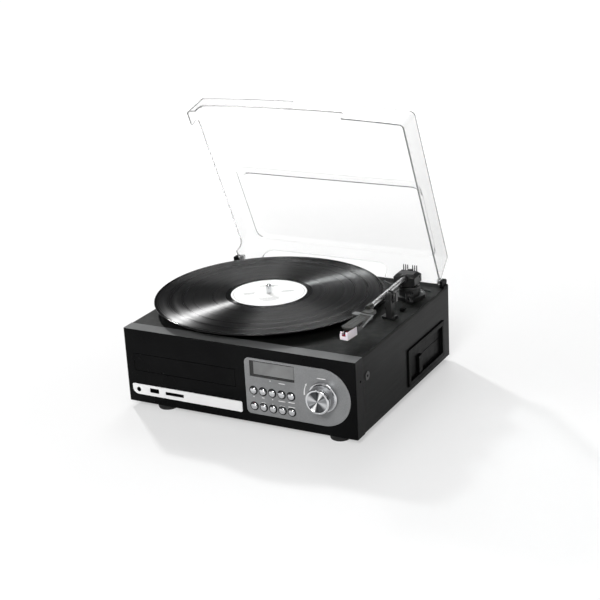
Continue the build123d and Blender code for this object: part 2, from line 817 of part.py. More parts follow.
# Turntable
def platter():
    """The platter with its rim, the ring that the belt drives and the hub."""
    top = Z_T + PLATTER_TOP
    bottom = Z_T + PLATTER_LIFT
    plate_bottom = top - PLATTER_PLATE
    body = rod_z(DISC_X, DISC_Y, plate_bottom, top, PLATTER_R)
    body += ring_z(DISC_X, DISC_Y, bottom, plate_bottom, PLATTER_R, PLATTER_R - PLATTER_WALL)
    body += ring_z(DISC_X, DISC_Y, bottom, plate_bottom, DRIVE_RING_R, DRIVE_RING_R - PLATTER_WALL)
    body += rod_z(DISC_X, DISC_Y, Z_T + COLLAR_H + GAP, plate_bottom, HUB_R)
    return body - rod_z(DISC_X, DISC_Y, bottom, top + OVER, SPINDLE_R + RUN_FIT)


def slip_mat():
    """The mat between platter and record."""
    return ring_z(
        DISC_X, DISC_Y, Z_T + PLATTER_TOP, Z_T + RECORD_BOTTOM, MAT_R, SPINDLE_R + RUN_FIT
    )


def record():
    """The record: a thin grooved band between a thicker middle and a thicker edge."""
    bottom = Z_T + RECORD_BOTTOM
    top = Z_T + RECORD_TOP
    disc = rod_z(DISC_X, DISC_Y, bottom, top - GROOVE_DIP, RECORD_R)
    disc += rod_z(DISC_X, DISC_Y, bottom, top - LABEL_T, LABEL_R)
    disc += ring_z(DISC_X, DISC_Y, bottom, top, RECORD_R, RECORD_R - BEAD_W)
    return disc - rod_z(DISC_X, DISC_Y, bottom - OVER, top + OVER, SPINDLE_R + RUN_FIT)


def record_label():
    """The paper label."""
    top = Z_T + RECORD_TOP
    return ring_z(DISC_X, DISC_Y, top - LABEL_T, top, LABEL_R, SPINDLE_R + RUN_FIT)


def spindle():
    """The fixed spindle: a flange under the deck, a collar on it and a domed pin."""
    top = Z_T + RECORD_TOP + SPINDLE_RISE
    pin = rod_z(DISC_X, DISC_Y, DECK_Z0, top, SPINDLE_R)
    pin = fillet(pin.edges().sort_by(Axis.Z)[-1], SPINDLE_DOME)
    pin += rod_z(DISC_X, DISC_Y, DECK_Z0 - FLANGE_H, DECK_Z0, FLANGE_R)
    return pin + rod_z(DISC_X, DISC_Y, Z_T, Z_T + COLLAR_H, COLLAR_R)


def belt_outline(grow):
    """The outline round the drive ring and the pulley: two circles and their outer tangents."""
    big = DRIVE_RING_R + GAP + grow
    small = PULLEY_R + GAP + grow
    along = math.radians(MOTOR_ANGLE)
    spread = math.acos((big - small) / MOTOR_DISTANCE)
    points = []
    for side in (-1, 1):
        angle = along + side * spread
        ends = [(DISC_X, DISC_Y, big), (MOTOR_X, MOTOR_Y, small)]
        pair = [(x + r * math.cos(angle), y + r * math.sin(angle)) for x, y, r in ends]
        points += pair if side < 0 else pair[::-1]
    outline = Polygon(*points, align=None) + Pos(DISC_X, DISC_Y) * Circle(big)
    return outline + Pos(MOTOR_X, MOTOR_Y) * Circle(small)


def drive_belt():
    """The flat belt."""
    ring = Pos(0, 0, Z_T + BELT_Z0) * (belt_outline(BELT_T) - belt_outline(0))
    return extrude(ring, amount=BELT_H)


def platter_motor():
    """The motor under the deck, with its shaft through the deck."""
    top = Z_T + BELT_Z0 + BELT_H
    can = rod_z(MOTOR_X, MOTOR_Y, DECK_Z0 - MOTOR_H, DECK_Z0, MOTOR_R)
    return can + rod_z(MOTOR_X, MOTOR_Y, DECK_Z0, top, MOTOR_SHAFT_R)


def motor_pulley():
    """The pulley that drives the belt."""
    bottom = Z_T + BELT_Z0 - PULLEY_LIP
    top = Z_T + BELT_Z0 + BELT_H
    return ring_z(MOTOR_X, MOTOR_Y, bottom, top, PULLEY_R, MOTOR_SHAFT_R + RUN_FIT)


# Tonearm
def arm_base():
    """The round base with a raised rim, a pedestal and the ears of the cue lever."""
    top = Z_T + ARM_BASE_H
    base = rod_z(PIVOT_X, PIVOT_Y, DECK_FLOOR, top, ARM_BASE_R)
    base -= rod_z(PIVOT_X, PIVOT_Y, top - ARM_BASE_DISH, top + OVER, ARM_BASE_R - ARM_RIM)
    base += rod_z(PIVOT_X, PIVOT_Y, Z_T, Z_T + PEDESTAL_TOP, PEDESTAL_R)
    base -= rod_z(PIVOT_X, PIVOT_Y, Z_T + STUB_BOTTOM - GAP, Z_T + PEDESTAL_TOP + OVER, STUB_R + RUN_FIT)
    half = LEVER_HUB_W / 2 + GAP
    height = LEVER_Z + POCKET_DEPTH
    deep = LEVER_HUB_R + EAR_MARGIN
    ears = block(-half - EAR_T, half + EAR_T, -deep, deep, 0, height + LEVER_HUB_R)
    free = LEVER_HUB_R + GAP
    ears -= block(-half, half, -deep - OVER, deep + OVER, height - free, height + LEVER_HUB_R + OVER)
    ears -= rod_x(-half - EAR_T - OVER, half + EAR_T + OVER, 0, height, LEVER_PIN_R + RUN_FIT)
    base -= LEVER_FRAME * block(-half, half, -deep - free, deep + free, height - free, height + deep)
    return base + LEVER_FRAME * ears


def cue_lever():
    """The lever with its hub, pin and small knob."""
    height = LEVER_Z + POCKET_DEPTH
    half = LEVER_HUB_W / 2
    lever = rod_x(-half, half, 0, height, LEVER_HUB_R)
    lever += rod_x(-half - GAP - EAR_T, half + GAP + EAR_T, 0, height, LEVER_PIN_R)
    lever += rod_y(0, -LEVER_LENGTH, 0, height, LEVER_R)
    lever += Pos(0, -LEVER_LENGTH, height) * Sphere(LEVER_KNOB_R)
    return LEVER_FRAME * lever


def cue_platform():
    """The curved bar under the tube, and its rod through the deck."""
    tube_z = TUBE_Z_PIVOT + (TUBE_Z_END - TUBE_Z_PIVOT) * CUE_R / ARM_LINE.length
    top = Z_T + tube_z - TUBE_R - GAP
    start = FRONT_ANGLE - CUE_TO
    arc = CenterArc((PIVOT_X, PIVOT_Y, 0), CUE_R, start, CUE_TO - CUE_FROM)
    line = arc.offset_2d(CUE_W / 2)
    bar = extrude(Pos(0, 0, top - CUE_T) * make_face(line), amount=CUE_T)
    x, y = cue_rod_place()
    return bar + rod_z(x, y, DECK_FLOOR - CUE_ROD_DEPTH, top - CUE_T, CUE_ROD_R)


def arm_turret():
    """The swinging yoke: a disc on a stub, with two cheeks for the lift pin."""
    floor = Z_T + PEDESTAL_TOP + GAP
    yoke = rod_z(PIVOT_X, PIVOT_Y, Z_T + STUB_BOTTOM, floor, STUB_R)
    yoke += rod_z(PIVOT_X, PIVOT_Y, floor, floor + YOKE_T, PEDESTAL_R)
    middle = (YOKE_W - CHEEK_T) / 2
    for sign in (-1, 1):
        x = PIVOT_X + sign * middle
        y0 = PIVOT_Y - YOKE_DEPTH / 2
        yoke += block(x - CHEEK_T / 2, x + CHEEK_T / 2, y0, y0 + YOKE_DEPTH, floor, Z_T + CHEEK_TOP)
    reach = YOKE_W / 2 + OVER
    return yoke - rod_x(PIVOT_X - reach, PIVOT_X + reach, PIVOT_Y, Z_T + PIN_Z, PIN_R)


def arm_pin():
    """The cross pin that the arm lifts about."""
    reach = HUB_W / 2 - PIN_INSET
    return rod_x(PIVOT_X - reach, PIVOT_X + reach, PIVOT_Y, Z_T + PIN_Z, PIN_R)


def arm_hub():
    """The chamfered housing over the yoke, open below, with the collar and a lead block."""
    half = HUB_W / 2
    y0 = PIVOT_Y - HUB_FRONT
    y1 = PIVOT_Y + HUB_REAR
    top = Z_T + HUB_TOP
    hub = block(PIVOT_X - half, PIVOT_X + half, y0, y1, Z_T + HUB_BOTTOM, top)
    hub = chamfer(hub.edges().group_by(Axis.Z)[-1], HUB_CHAMFER)
    hub = chamfer(hub.edges().group_by(Axis.Z)[0].filter_by(Axis.Y), HUB_UNDERCUT)
    hub += rod_between(arm_point(HUB_FRONT - OVER), arm_point(HUB_FRONT + ARM_COLLAR_L), ARM_COLLAR_R)
    wide, long, high = LEAD_BLOCK
    lead_y = y1 - long / 2
    lead_top = top + LEAD_RISE
    hub += block(PIVOT_X - wide / 2, PIVOT_X + wide / 2, lead_y, lead_y + long, lead_top - high, lead_top)
    inner = YOKE_W / 2 + GAP
    deep = HUB_REAR - HUB_WALL
    hub -= block(
        PIVOT_X - inner, PIVOT_X + inner,
        PIVOT_Y - deep, PIVOT_Y + deep,
        Z_T + HUB_BOTTOM - OVER, top - HUB_ROOF,
    )
    reach = half + OVER
    hub -= rod_x(PIVOT_X - reach, PIVOT_X + reach, PIVOT_Y, Z_T + PIN_Z, PIN_R + RUN_FIT)
    return hub - rod_between(arm_point(HUB_FRONT - TUBE_SEAT), TUBE_END, TUBE_R)


def arm_tube():
    """The silver tube from the hub to the headshell."""
    start = arm_point(HUB_FRONT - TUBE_SEAT)
    return rod_between(start, TUBE_END, TUBE_R) - rod_between(start, TUBE_END, TUBE_BORE_R)


def headshell():
    """The headshell with its side lips, its neck and the collar over the tube."""
    half = HEAD_W / 2
    bottom = HEAD_TOP - HEAD_T
    plate = block(-half, half, -HEAD_LENGTH, 0, bottom, HEAD_TOP)
    plate = fillet(plate.edges().filter_by(Axis.Z), HEAD_R)
    for sign in (-1, 1):
        x = sign * (half - HEAD_LIP_T / 2)
        y1 = -HEAD_R
        lip_y0 = y1 - HEAD_LIP_LENGTH
        x0 = x - HEAD_LIP_T / 2
        plate += block(x0, x0 + HEAD_LIP_T, lip_y0, y1, bottom - HEAD_LIP_H, bottom)
    plate += block(-NECK_W / 2, NECK_W / 2, -NECK_FRONT, NECK_BACK, bottom, NECK_TOP)
    reach = ARM_LINE.length
    collar = rod_between(arm_point(reach - NECK_COLLAR_L), arm_point(reach + OVER), NECK_COLLAR_R)
    return HEAD_FRAME * plate + collar - rod_between(PIVOT, TUBE_END, TUBE_R)


def finger_lift():
    """The wire over the headshell, with a tab on the left and a rod down the right side."""
    z = HEAD_TOP + LIFT_ROD_R
    y = -NECK_FRONT - 2 * LIFT_ROD_R
    right = HEAD_W / 2 + LIFT_ROD_R + LIFT_ROD_CLEAR
    left = -HEAD_W / 2
    wire = rod_x(left, right, y, z, LIFT_ROD_R)
    wire += Pos(right, y, z) * Sphere(LIFT_ROD_R)
    end = (right, y - LIFT_ROD_L, z - LIFT_ROD_DROP)
    wire += rod_between((right, y, z), end, LIFT_ROD_R)
    tab_y = y - LIFT_TAB_L / 2
    wire += block(left - LIFT_TAB_W, left + OVER, tab_y, tab_y + LIFT_TAB_L, HEAD_TOP, z)
    return HEAD_FRAME * wire


def nose_half():
    """Half the width of the cartridge's nose, which runs inside the guard."""
    return GUARD_W / 2 - GUARD_T - GAP


def cartridge():
    """The cartridge: a wide body under the headshell and a narrow nose inside the guard."""
    half = CARTRIDGE_W / 2
    top = HEAD_TOP - HEAD_T
    body = block(-half, half, -CARTRIDGE_STEP, -CARTRIDGE_BACK, CARTRIDGE_BOTTOM, top)
    half = nose_half()
    nose_top = GUARD_TOP - GAP
    body += block(-half, half, -CARTRIDGE_FRONT, -CARTRIDGE_BACK, CARTRIDGE_BOTTOM, nose_top)
    return HEAD_FRAME * Pos(CARTRIDGE_SHIFT, 0, 0) * body


def stylus():
    """The stylus holder under the cartridge, its front tab and its tip."""
    half = STYLUS_W / 2
    bottom = CARTRIDGE_BOTTOM - STYLUS_T
    holder = block(-half, half, -CARTRIDGE_FRONT, -CARTRIDGE_BACK, bottom, CARTRIDGE_BOTTOM)
    front = -CARTRIDGE_FRONT - STYLUS_TAB_L
    half = STYLUS_TAB_W / 2
    holder += block(-half, half, front, -CARTRIDGE_FRONT, bottom, STYLUS_TAB_TOP)
    tip_h = bottom - STYLUS_TIP_Z
    tip = Pos(0, -STYLUS_TIP_Y, bottom - tip_h / 2) * Cone(STYLUS_POINT_R, STYLUS_TIP_R, tip_h)
    return HEAD_FRAME * Pos(CARTRIDGE_SHIFT, 0, 0) * (holder + tip)


def stylus_guard():
    """The pale guard: a tray open at the top and the back, low on the left and notched in front."""
    half = GUARD_W / 2
    inner = half - GUARD_T
    top = GUARD_TOP + OVER
    front = -GUARD_FRONT
    back = -GUARD_BACK + OVER
    guard = block(-half, half, front, -GUARD_BACK, GUARD_BOTTOM, GUARD_TOP)
    guard -= block(-inner, inner, front + GUARD_T, back, GUARD_BOTTOM + GUARD_T, top)
    guard -= block(-half - OVER, -inner, front - OVER, back, GUARD_LEFT_TOP, top)
    notch = GUARD_NOTCH / 2
    guard -= block(-notch, notch, front - OVER, front + GUARD_T + OVER, GUARD_SHORT, top)
    return HEAD_FRAME * Pos(CARTRIDGE_SHIFT, 0, 0) * guard


def arm_rest():
    """The arm rest: a foot, a post with two ears and a shelf under the tube."""
    half = REST_DEPTH / 2
    y0 = REST_Y - half
    y1 = REST_Y + half
    floor = DECK_FLOOR
    rest = block(REST_X - REST_FOOT_W / 2, REST_X + REST_FOOT_W / 2, y0, y1, floor, floor + REST_FOOT_H)
    left = REST_X - CLIP_HUB_R
    rest += block(left, left + REST_POST_W, y0, y1, floor, Z_T + REST_TOP)
    shelf_z = shelf_top()
    rest += block(REST_SHELF_X, left + OVER, y0, y1, shelf_z - REST_SHELF_T, shelf_z)
    slot = CLIP_W / 2 + GAP
    low = Z_T + CLIP_PIN_Z - CLIP_HUB_R - CLIP_T
    right = left + REST_POST_W
    top = Z_T + REST_TOP
    rest -= block(left - GAP, right + OVER, REST_Y - slot, REST_Y + slot, low, top + OVER)
    return rest - rod_y(REST_X, y0 - OVER, y1 + OVER, Z_T + CLIP_PIN_Z, CLIP_PIN_R + RUN_FIT)


def shelf_top():
    """The height of the rest's shelf, just under the tube."""
    run = (PIVOT_Y - REST_Y) / (PIVOT_Y - TUBE_END_Y)
    return Z_T + TUBE_Z_PIVOT + (TUBE_Z_END - TUBE_Z_PIVOT) * run - TUBE_R - GAP


def rest_clip():
    """The hooked clip, drawn over the tube about its pin and then opened by a right angle."""
    half = CLIP_W / 2
    clip = rod_y(0, -half, half, 0, CLIP_HUB_R)
    clip += block(-CLIP_T / 2, CLIP_T / 2, -half, half, 0, CLIP_RISE)
    clip += block(-CLIP_REACH, CLIP_T / 2, -half, half, CLIP_RISE - CLIP_T, CLIP_RISE)
    clip += block(-CLIP_REACH, -CLIP_REACH + CLIP_T, -half, half, CLIP_RISE - CLIP_T - CLIP_HOOK, CLIP_RISE)
    ear = REST_DEPTH / 2
    clip += rod_y(0, -ear, ear, 0, CLIP_PIN_R)
    return Pos(REST_X, REST_Y, Z_T + CLIP_PIN_Z) * Rot(0, 90, 0) * clip


def slide_switch(x):
    """A switch cap in the pocket, with its stem and the foot that keeps it in."""
    half_w = SWITCH_W / 2
    stem = SWITCH_STEM / 2
    half_l = SWITCH_L / 2
    low = DECK_FLOOR + GAP
    cap = block(x - half_w, x + half_w, SWITCH_Y - half_l, SWITCH_Y + half_l, low, Z_T + SWITCH_TOP)
    cap = chamfer(cap.edges().group_by(Axis.Z)[-1].filter_by(Axis.X), SWITCH_STEM / 2)
    foot_z = DECK_Z0 - GAP
    cap += block(x - stem, x + stem, SWITCH_Y - stem, SWITCH_Y + stem, foot_z, low)
    return cap + block(x - half_w, x + half_w, SWITCH_Y - stem, SWITCH_Y + stem, foot_z - SWITCH_STEM, foot_z)


# Clear cover
def cover_section(height, inset):
    """The cover's plan at a height above its rim: slanted front and back, bowed front."""
    front = COVER_Y_FRONT + FRONT_SLANT * height / COVER_DEPTH + inset
    rear = COVER_Y_REAR - REAR_SLANT * height / COVER_DEPTH - inset
    half = COVER_W / 2 - inset
    edges = [
        Line((half, rear), (half, front)),
        ThreePointArc((half, front), (0, front - FRONT_BOW), (-half, front)),
        Line((-half, front), (-half, rear)),
        Line((-half, rear), (half, rear)),
    ]
    face = make_face(edges)
    face = fillet(face.vertices(), COVER_CORNER - inset)
    return Pos(0, 0, Z_T + COVER_RIM + height) * face


def raise_section(height, inset):
    """The raised part's plan at a height above the panel."""
    share = height / RAISE_H
    half = RAISE_X - RAISE_SLOPE * share - inset
    front = RAISE_Y_FRONT + RAISE_RAMP * share + inset
    rear = COVER_Y_REAR - REAR_SLANT - RAISE_REAR_INSET - RAISE_SLOPE * share - inset
    face = Pos(0, (front + rear) / 2) * RectangleRounded(2 * half, rear - front, RAISE_CORNER - inset)
    return Pos(0, 0, Z_T + COVER_RIM + COVER_DEPTH + height) * face


def cover():
    """The clear cover, hollowed, raised over the arm, cut to clear the record, and opened."""
    wall = COVER_T
    top = COVER_DEPTH
    edge = COVER_EDGE
    outer = loft([cover_section(0, 0), cover_section(top - edge, 0), cover_section(top, edge)], ruled=True)
    outer += loft([raise_section(-OVER, 0), raise_section(RAISE_H, 0)], ruled=True)
    outer -= loft([cover_section(-OVER, wall), cover_section(top - wall, wall)], ruled=True)
    outer -= loft([raise_section(-wall - OVER, wall), raise_section(RAISE_H - wall, wall)], ruled=True)
    for sign in (-1, 1):
        end = sign * COVER_W / 2
        start = end - sign * HINGE_BOSS_L
        low, high = sorted((start, end))
        outer += rod_x(low, high, HINGE_Y, Z_T + HINGE_Z, HINGE_BOSS_R)
        outer -= rod_x(low - OVER, high + OVER, HINGE_Y, Z_T + HINGE_Z, HINGE_PIN_R + RUN_FIT)
    for cut in cover_cuts():
        outer -= cut
    return outer.rotate(HINGE_AXIS, OPEN_ANGLE)


def cover_cuts():
    """The cut-outs in the left, front and back walls, where the record reaches out."""
    low = Z_T + COVER_RIM - 2 * CUT_R
    half = COVER_W / 2
    high = Z_T + COVER_RIM + SIDE_CUT_H
    side = block(-half - OVER, -half + COVER_CORNER + OVER, SIDE_CUT_Y0, SIDE_CUT_Y1, low, high)
    side = fillet(side.edges().filter_by(Axis.X), CUT_R)
    y0 = COVER_Y_FRONT - FRONT_BOW - OVER
    y1 = COVER_Y_FRONT + FRONT_SLANT + 2 * COVER_T
    front = block(FRONT_CUT_X0, FRONT_CUT_X1, y0, y1, low, Z_T + COVER_RIM + FRONT_CUT_H)
    front = fillet(front.edges().filter_by(Axis.Y), CUT_R)
    y0 = COVER_Y_REAR - REAR_SLANT - 2 * COVER_T
    low = Z_T + COVER_RIM - 2 * REAR_CUT_R
    rear = block(REAR_CUT_X0, REAR_CUT_X1, y0, COVER_Y_REAR + OVER, low, Z_T + COVER_RIM + REAR_CUT_H)
    rear = fillet(rear.edges().filter_by(Axis.Y), REAR_CUT_R)
    return side, front, rear


def hinge_brackets():
    """Two brackets on the deck outside the cover's walls, each with its hinge pin."""
    group = None
    top = Z_T + HINGE_Z + HINGE_BOSS_R
    for sign in (-1, 1):
        bracket = block(0, BRACKET_T, BRACKET_Y0, HINGE_Y, Z_T, top)
        bracket += rod_x(0, BRACKET_T, HINGE_Y, Z_T + HINGE_Z, HINGE_BOSS_R)
        bracket += block(0, BRACKET_FOOT, BRACKET_Y0, Y_B - CASE_EDGE, Z_T, Z_T + BRACKET_FOOT_T)
        bracket += rod_x(-BRACKET_GAP - HINGE_BOSS_L, 0, HINGE_Y, Z_T + HINGE_Z, HINGE_PIN_R)
        if sign < 0:
            bracket = bracket.mirror(Plane.YZ)
        bracket = Pos(sign * BRACKET_X, 0, 0) * bracket
        group = bracket if group is None else group + bracket
    return group


# Control panel
def control_panel():
    """The silver panel with its window, button holes and knob hole."""
    panel = slab_y(control_outline(0), INLAY_FRONT, INLAY_BACK)
    y0 = INLAY_FRONT - OVER
    y1 = INLAY_BACK + OVER
    panel -= block(WINDOW_X0, WINDOW_X1, y0, y1, Z_B + WINDOW_Z0, Z_B + WINDOW_Z1)
    for x, z in button_places():
        panel -= rod_y(x, y0, y1, z, BUTTON_R + GAP)
    return panel - rod_y(KNOB_X, y0, y1, Z_B + KNOB_Z, SHAFT_R + GAP)


def display_window():
    """The glass of the display, set into the silver panel."""
    return block(
        WINDOW_X0 + INLAY_GAP, WINDOW_X1 - INLAY_GAP,
        INLAY_BACK - WINDOW_T, INLAY_BACK,
        Z_B + WINDOW_Z0 + INLAY_GAP, Z_B + WINDOW_Z1 - INLAY_GAP,
    )


def button(x, z):
    """A round button with the flange that keeps it behind the front wall."""
    flange_y = WALL_BACK + GAP
    cap = rod_y(x, INLAY_FRONT - BUTTON_RISE, flange_y, z, BUTTON_R)
    cap = fillet(cap.edges().sort_by(Axis.Y)[0], BUTTON_DOME)
    return cap + rod_y(x, flange_y, flange_y + BUTTON_FLANGE_T, z, BUTTON_FLANGE_R)


def volume_knob():
    """The knob: a skirt, a tapered body with a shallow dish and a mark, and its shaft."""
    z = Z_B + KNOB_Z
    back = INLAY_FRONT - 2 * GAP
    skirt_front = back - KNOB_SKIRT_T
    face = INLAY_FRONT - KNOB_RISE
    height = skirt_front - face
    body = Cone(KNOB_BACK_R, KNOB_FACE_R, height)
    body = fillet(body.edges().sort_by(Axis.Z)[-1], KNOB_EDGE)
    knob = Pos(KNOB_X, (skirt_front + face) / 2, z) * Rot(90, 0, 0) * body
    knob += rod_y(KNOB_X, skirt_front, back, z, KNOB_SKIRT_R)
    knob -= rod_y(KNOB_X, face - OVER, face + KNOB_DISH, z, KNOB_DISH_R)
    mark = KNOB_MARK / 2
    knob -= block(
        KNOB_X - mark, KNOB_X + mark,
        face - OVER, face + KNOB_DISH,
        z + KNOB_DISH_R - KNOB_MARK, z + KNOB_FACE_R + KNOB_MARK,
    )
    return knob + rod_y(KNOB_X, back, PANEL_BOARD_Y0 + POT_DEPTH / 2, z, SHAFT_R)


def control_board():
    """The upright board behind the silver panel, with its keys and the volume control."""
    y0 = PANEL_BOARD_Y0
    y1 = y0 + BOARD_T
    board = block(PANEL_BOARD_X0, PANEL_BOARD_X1, y0, y1, Z_B + PANEL_BOARD_Z0, Z_B + PANEL_BOARD_Z1)
    key_y = WALL_BACK + GAP + BUTTON_FLANGE_T + BUTTON_TRAVEL + GAP
    half = KEY_SIZE / 2
    for x, z in button_places():
        board += block(x - half, x + half, key_y, y0, z - half, z + half)
    z = Z_B + KNOB_Z
    half = POT_SIZE / 2
    board += block(KNOB_X - half, KNOB_X + half, y1, y1 + POT_DEPTH, z - half, z + half)
    board += rod_y(KNOB_X, BUSH_FRONT, y0, z, BUSH_R)
    return board - rod_y(KNOB_X, BUSH_FRONT - OVER, y0 + POT_DEPTH / 2 + GAP, z, SHAFT_R + RUN_FIT)


# Disc drawer
def cd_tray():
    """The drawer: its door, and a tray with a round recess and a slot for the disc motor."""
    door = block(DOOR_X0, DOOR_X1, Y_F, WALL_BACK, Z_B + DOOR_Z0, Z_B + DOOR_Z1)
    low = Z_B + TRAY_Z0
    high = low + TRAY_T
    back = WALL_BACK + TRAY_LENGTH
    tray = block(TRAY_X0, TRAY_X1, WALL_BACK, back, low, high)
    x = (TRAY_X0 + TRAY_X1) / 2
    y = WALL_BACK + TRAY_MARGIN + TRAY_DISC_R
    tray -= rod_z(x, y, high - TRAY_DISC_DEPTH, high + OVER, TRAY_DISC_R)
    tray -= rod_z(x, y, low - OVER, high, TRAY_SLOT_R)
    tray -= block(x - TRAY_SLOT_R, x + TRAY_SLOT_R, y, back + OVER, low - OVER, high + OVER)
    return door + tray


def cd_mechanism():
    """The bay of the drawer: an open-fronted box with rails, a disc motor and legs."""
    back = BAY_Y0 + BAY_LENGTH
    low = Z_B + BAY_Z0
    high = Z_B + BAY_Z1
    wall = BAY_WALL
    bay = block(BAY_X0, BAY_X1, BAY_Y0, back, low, high)
    bay -= block(BAY_X0 + wall, BAY_X1 - wall, BAY_Y0 - OVER, back - wall, low + wall, high - wall)
    rail_top = Z_B + TRAY_Z0 - GAP
    for x in (BAY_X0 + wall, BAY_X1 - wall - BAY_RAIL):
        bay += block(x, x + BAY_RAIL, BAY_Y0, back - wall, low + wall, rail_top)
    x = (TRAY_X0 + TRAY_X1) / 2
    y = WALL_BACK + TRAY_MARGIN + TRAY_DISC_R
    bay += rod_z(x, y, low + wall, low + wall + DISC_MOTOR_H, DISC_MOTOR_R)
    for x in (BAY_LEG_X0, BAY_X1 - BAY_LEG):
        for y in (SHELL_Y0 + 2 * BAY_LEG, back - BAY_LEG_SETBACK):
            bay += block(x, x + BAY_LEG, y, y + BAY_LEG, BASE_TOP, low)
    return bay


# Ports
def port_strip():
    """The pale strip with holes for the jack, the USB socket and the card reader."""
    strip = slab_y(strip_outline(0), INLAY_FRONT, INLAY_BACK)
    strip -= rod_y(AUX_X, INLAY_FRONT - OVER, INLAY_BACK + OVER, Z_B + AUX_Z, AUX_R + INLAY_GAP)
    strip -= socket_hole(USB_X, USB_Z, USB_W, USB_H, INLAY_FRONT - OVER)
    return strip - socket_hole(CARD_X, CARD_Z, CARD_W, CARD_H, INLAY_FRONT - OVER)


def front_sockets():
    """The small board behind the strip, with its jack, USB socket and card reader."""
    y0 = WALL_BACK + PORT_BOARD_GAP
    y1 = y0 + BOARD_T
    lip = INLAY_FRONT + INLAY_GAP
    low = Z_B + PANEL_WALL + GAP
    board = block(STRIP_X0 + PANEL_WALL, STRIP_X1 - PANEL_WALL, y0, y1, low, Z_B + STRIP_Z1)
    board += rod_y(AUX_X, lip, y0, Z_B + AUX_Z, AUX_R)
    board -= rod_y(AUX_X, lip - OVER, y1 - GAP, Z_B + AUX_Z, AUX_BORE_R)
    half_w = USB_W / 2
    half_h = USB_H / 2
    wall = USB_WALL
    usb_z = Z_B + USB_Z
    board += block(USB_X - half_w, USB_X + half_w, lip, y0, usb_z - half_h, usb_z + half_h)
    board -= block(
        USB_X - half_w + wall, USB_X + half_w - wall,
        lip - OVER, y0,
        usb_z - half_h + wall, usb_z + half_h - wall,
    )
    half_w = CARD_W / 2
    half_h = CARD_H / 2
    slot = CARD_SLOT / 2
    card_z = Z_B + CARD_Z
    board += block(CARD_X - half_w, CARD_X + half_w, lip, y0, card_z - half_h, card_z + half_h)
    inner = half_w - wall
    return board - block(CARD_X - inner, CARD_X + inner, lip - OVER, y0, card_z - slot, card_z + slot)


# Cassette side
def cassette_bezel():
    """The stepped frame in the right side, with openings for the flap and the eject key."""
    inner = BEZEL_BORDER + GAP
    y0 = BEZEL_Y0 + inner
    y1 = BEZEL_Y1 - inner
    z0 = Z_B + BEZEL_Z0 + inner
    z1 = Z_B + BEZEL_Z1 - inner
    outline = rounded(BEZEL_Y0, BEZEL_Y1, Z_B + BEZEL_Z0, Z_B + BEZEL_Z1, BEZEL_R)
    bezel = slab_x(outline, SHELL_X, SHELL_X + BEZEL_T)
    bezel += block(FACE_X0, SHELL_X, y0, y1, z0, z1)
    wall = BEZEL_WALL
    bezel -= block(FACE_X1, SHELL_X + BEZEL_T + OVER, y0 + wall, y1 - wall, z0 + wall, z1 - wall)
    bezel -= block(FACE_X0 - OVER, FACE_X1 + OVER, FLAP_Y0, FLAP_Y1, Z_B + FLAP_Z0, flap_hole_top())
    bezel -= rod_y(FLAP_X, FLAP_Y0 - FLAP_PIN_L, FLAP_Y1 + FLAP_PIN_L, FLAP_AXIS_Z, FLAP_PIN_R + RUN_FIT)
    return bezel - block(FACE_X0 - OVER, FACE_X1 + OVER, KEY_Y0, KEY_Y1, Z_B + KEY_Z0, Z_B + KEY_Z1)


def flap_hole_top():
    """The top of the flap's hole, which clears the flap's corner as it turns."""
    return FLAP_AXIS_Z + FLAP_T * math.sqrt(0.5) + GAP


def cassette_flap():
    """The flap over the cassette slot, with pins at its top edge."""
    half = FLAP_T / 2
    low = Z_B + FLAP_Z0 + GAP
    flap = block(FLAP_X - half, FLAP_X + half, FLAP_Y0 + GAP, FLAP_Y1 - GAP, low, FLAP_AXIS_Z + half)
    pin_y0 = FLAP_Y0 - FLAP_PIN_L + GAP
    pin_y1 = FLAP_Y1 + FLAP_PIN_L - GAP
    return flap + rod_y(FLAP_X, pin_y0, pin_y1, FLAP_AXIS_Z, FLAP_PIN_R)


def eject_key():
    """The upright eject key beside the flap."""
    return block(
        FACE_X0 - KEY_BACK, FACE_X1 + KEY_RISE,
        KEY_Y0 + GAP, KEY_Y1 - GAP,
        Z_B + KEY_Z0 + GAP, Z_B + KEY_Z1 - GAP,
    )


def cassette_mechanism():
    """The cassette mechanism on the base: its slot, open to the right, and two reel shafts."""
    y0 = DECK_MECH_Y0
    y1 = DECK_MECH_Y1
    wall = DECK_MECH_WALL
    body = block(DECK_MECH_X0, DECK_MECH_X1, y0, y1, BASE_TOP, Z_B + DECK_MECH_Z1)
    low = Z_B + SLOT_Z0
    x0 = DECK_MECH_X1 - SLOT_DEPTH + GAP
    body -= block(x0, DECK_MECH_X1 + OVER, y0 + wall, y1 - wall, low, Z_B + SLOT_Z1)
    for x in (REEL_X, REEL_X + REEL_PITCH):
        body += rod_z(x, (FLAP_Y0 + FLAP_Y1) / 2, low, low + REEL_H, REEL_R)
    return body


def headphone_jack():
    """The headphone jack in the right side."""
    z = Z_B + JACK_Z
    end = SHELL_X + JACK_FLANGE_T
    start = end - JACK_LENGTH
    jack = rod_x(start, SHELL_X, JACK_Y, z, JACK_R)
    jack += rod_x(SHELL_X, end, JACK_Y, z, JACK_FLANGE_R)
    return jack - rod_x(start + JACK_END, end + OVER, JACK_Y, z, JACK_BORE_R)


# Back and inside
def phono_places(first):
    """Four jack centres in two rows, from the first column on."""
    return [(first + n * PHONO_PITCH, Z_B + PHONO_Z + row * PHONO_PITCH) for n in (0, 1) for row in (0, 1)]


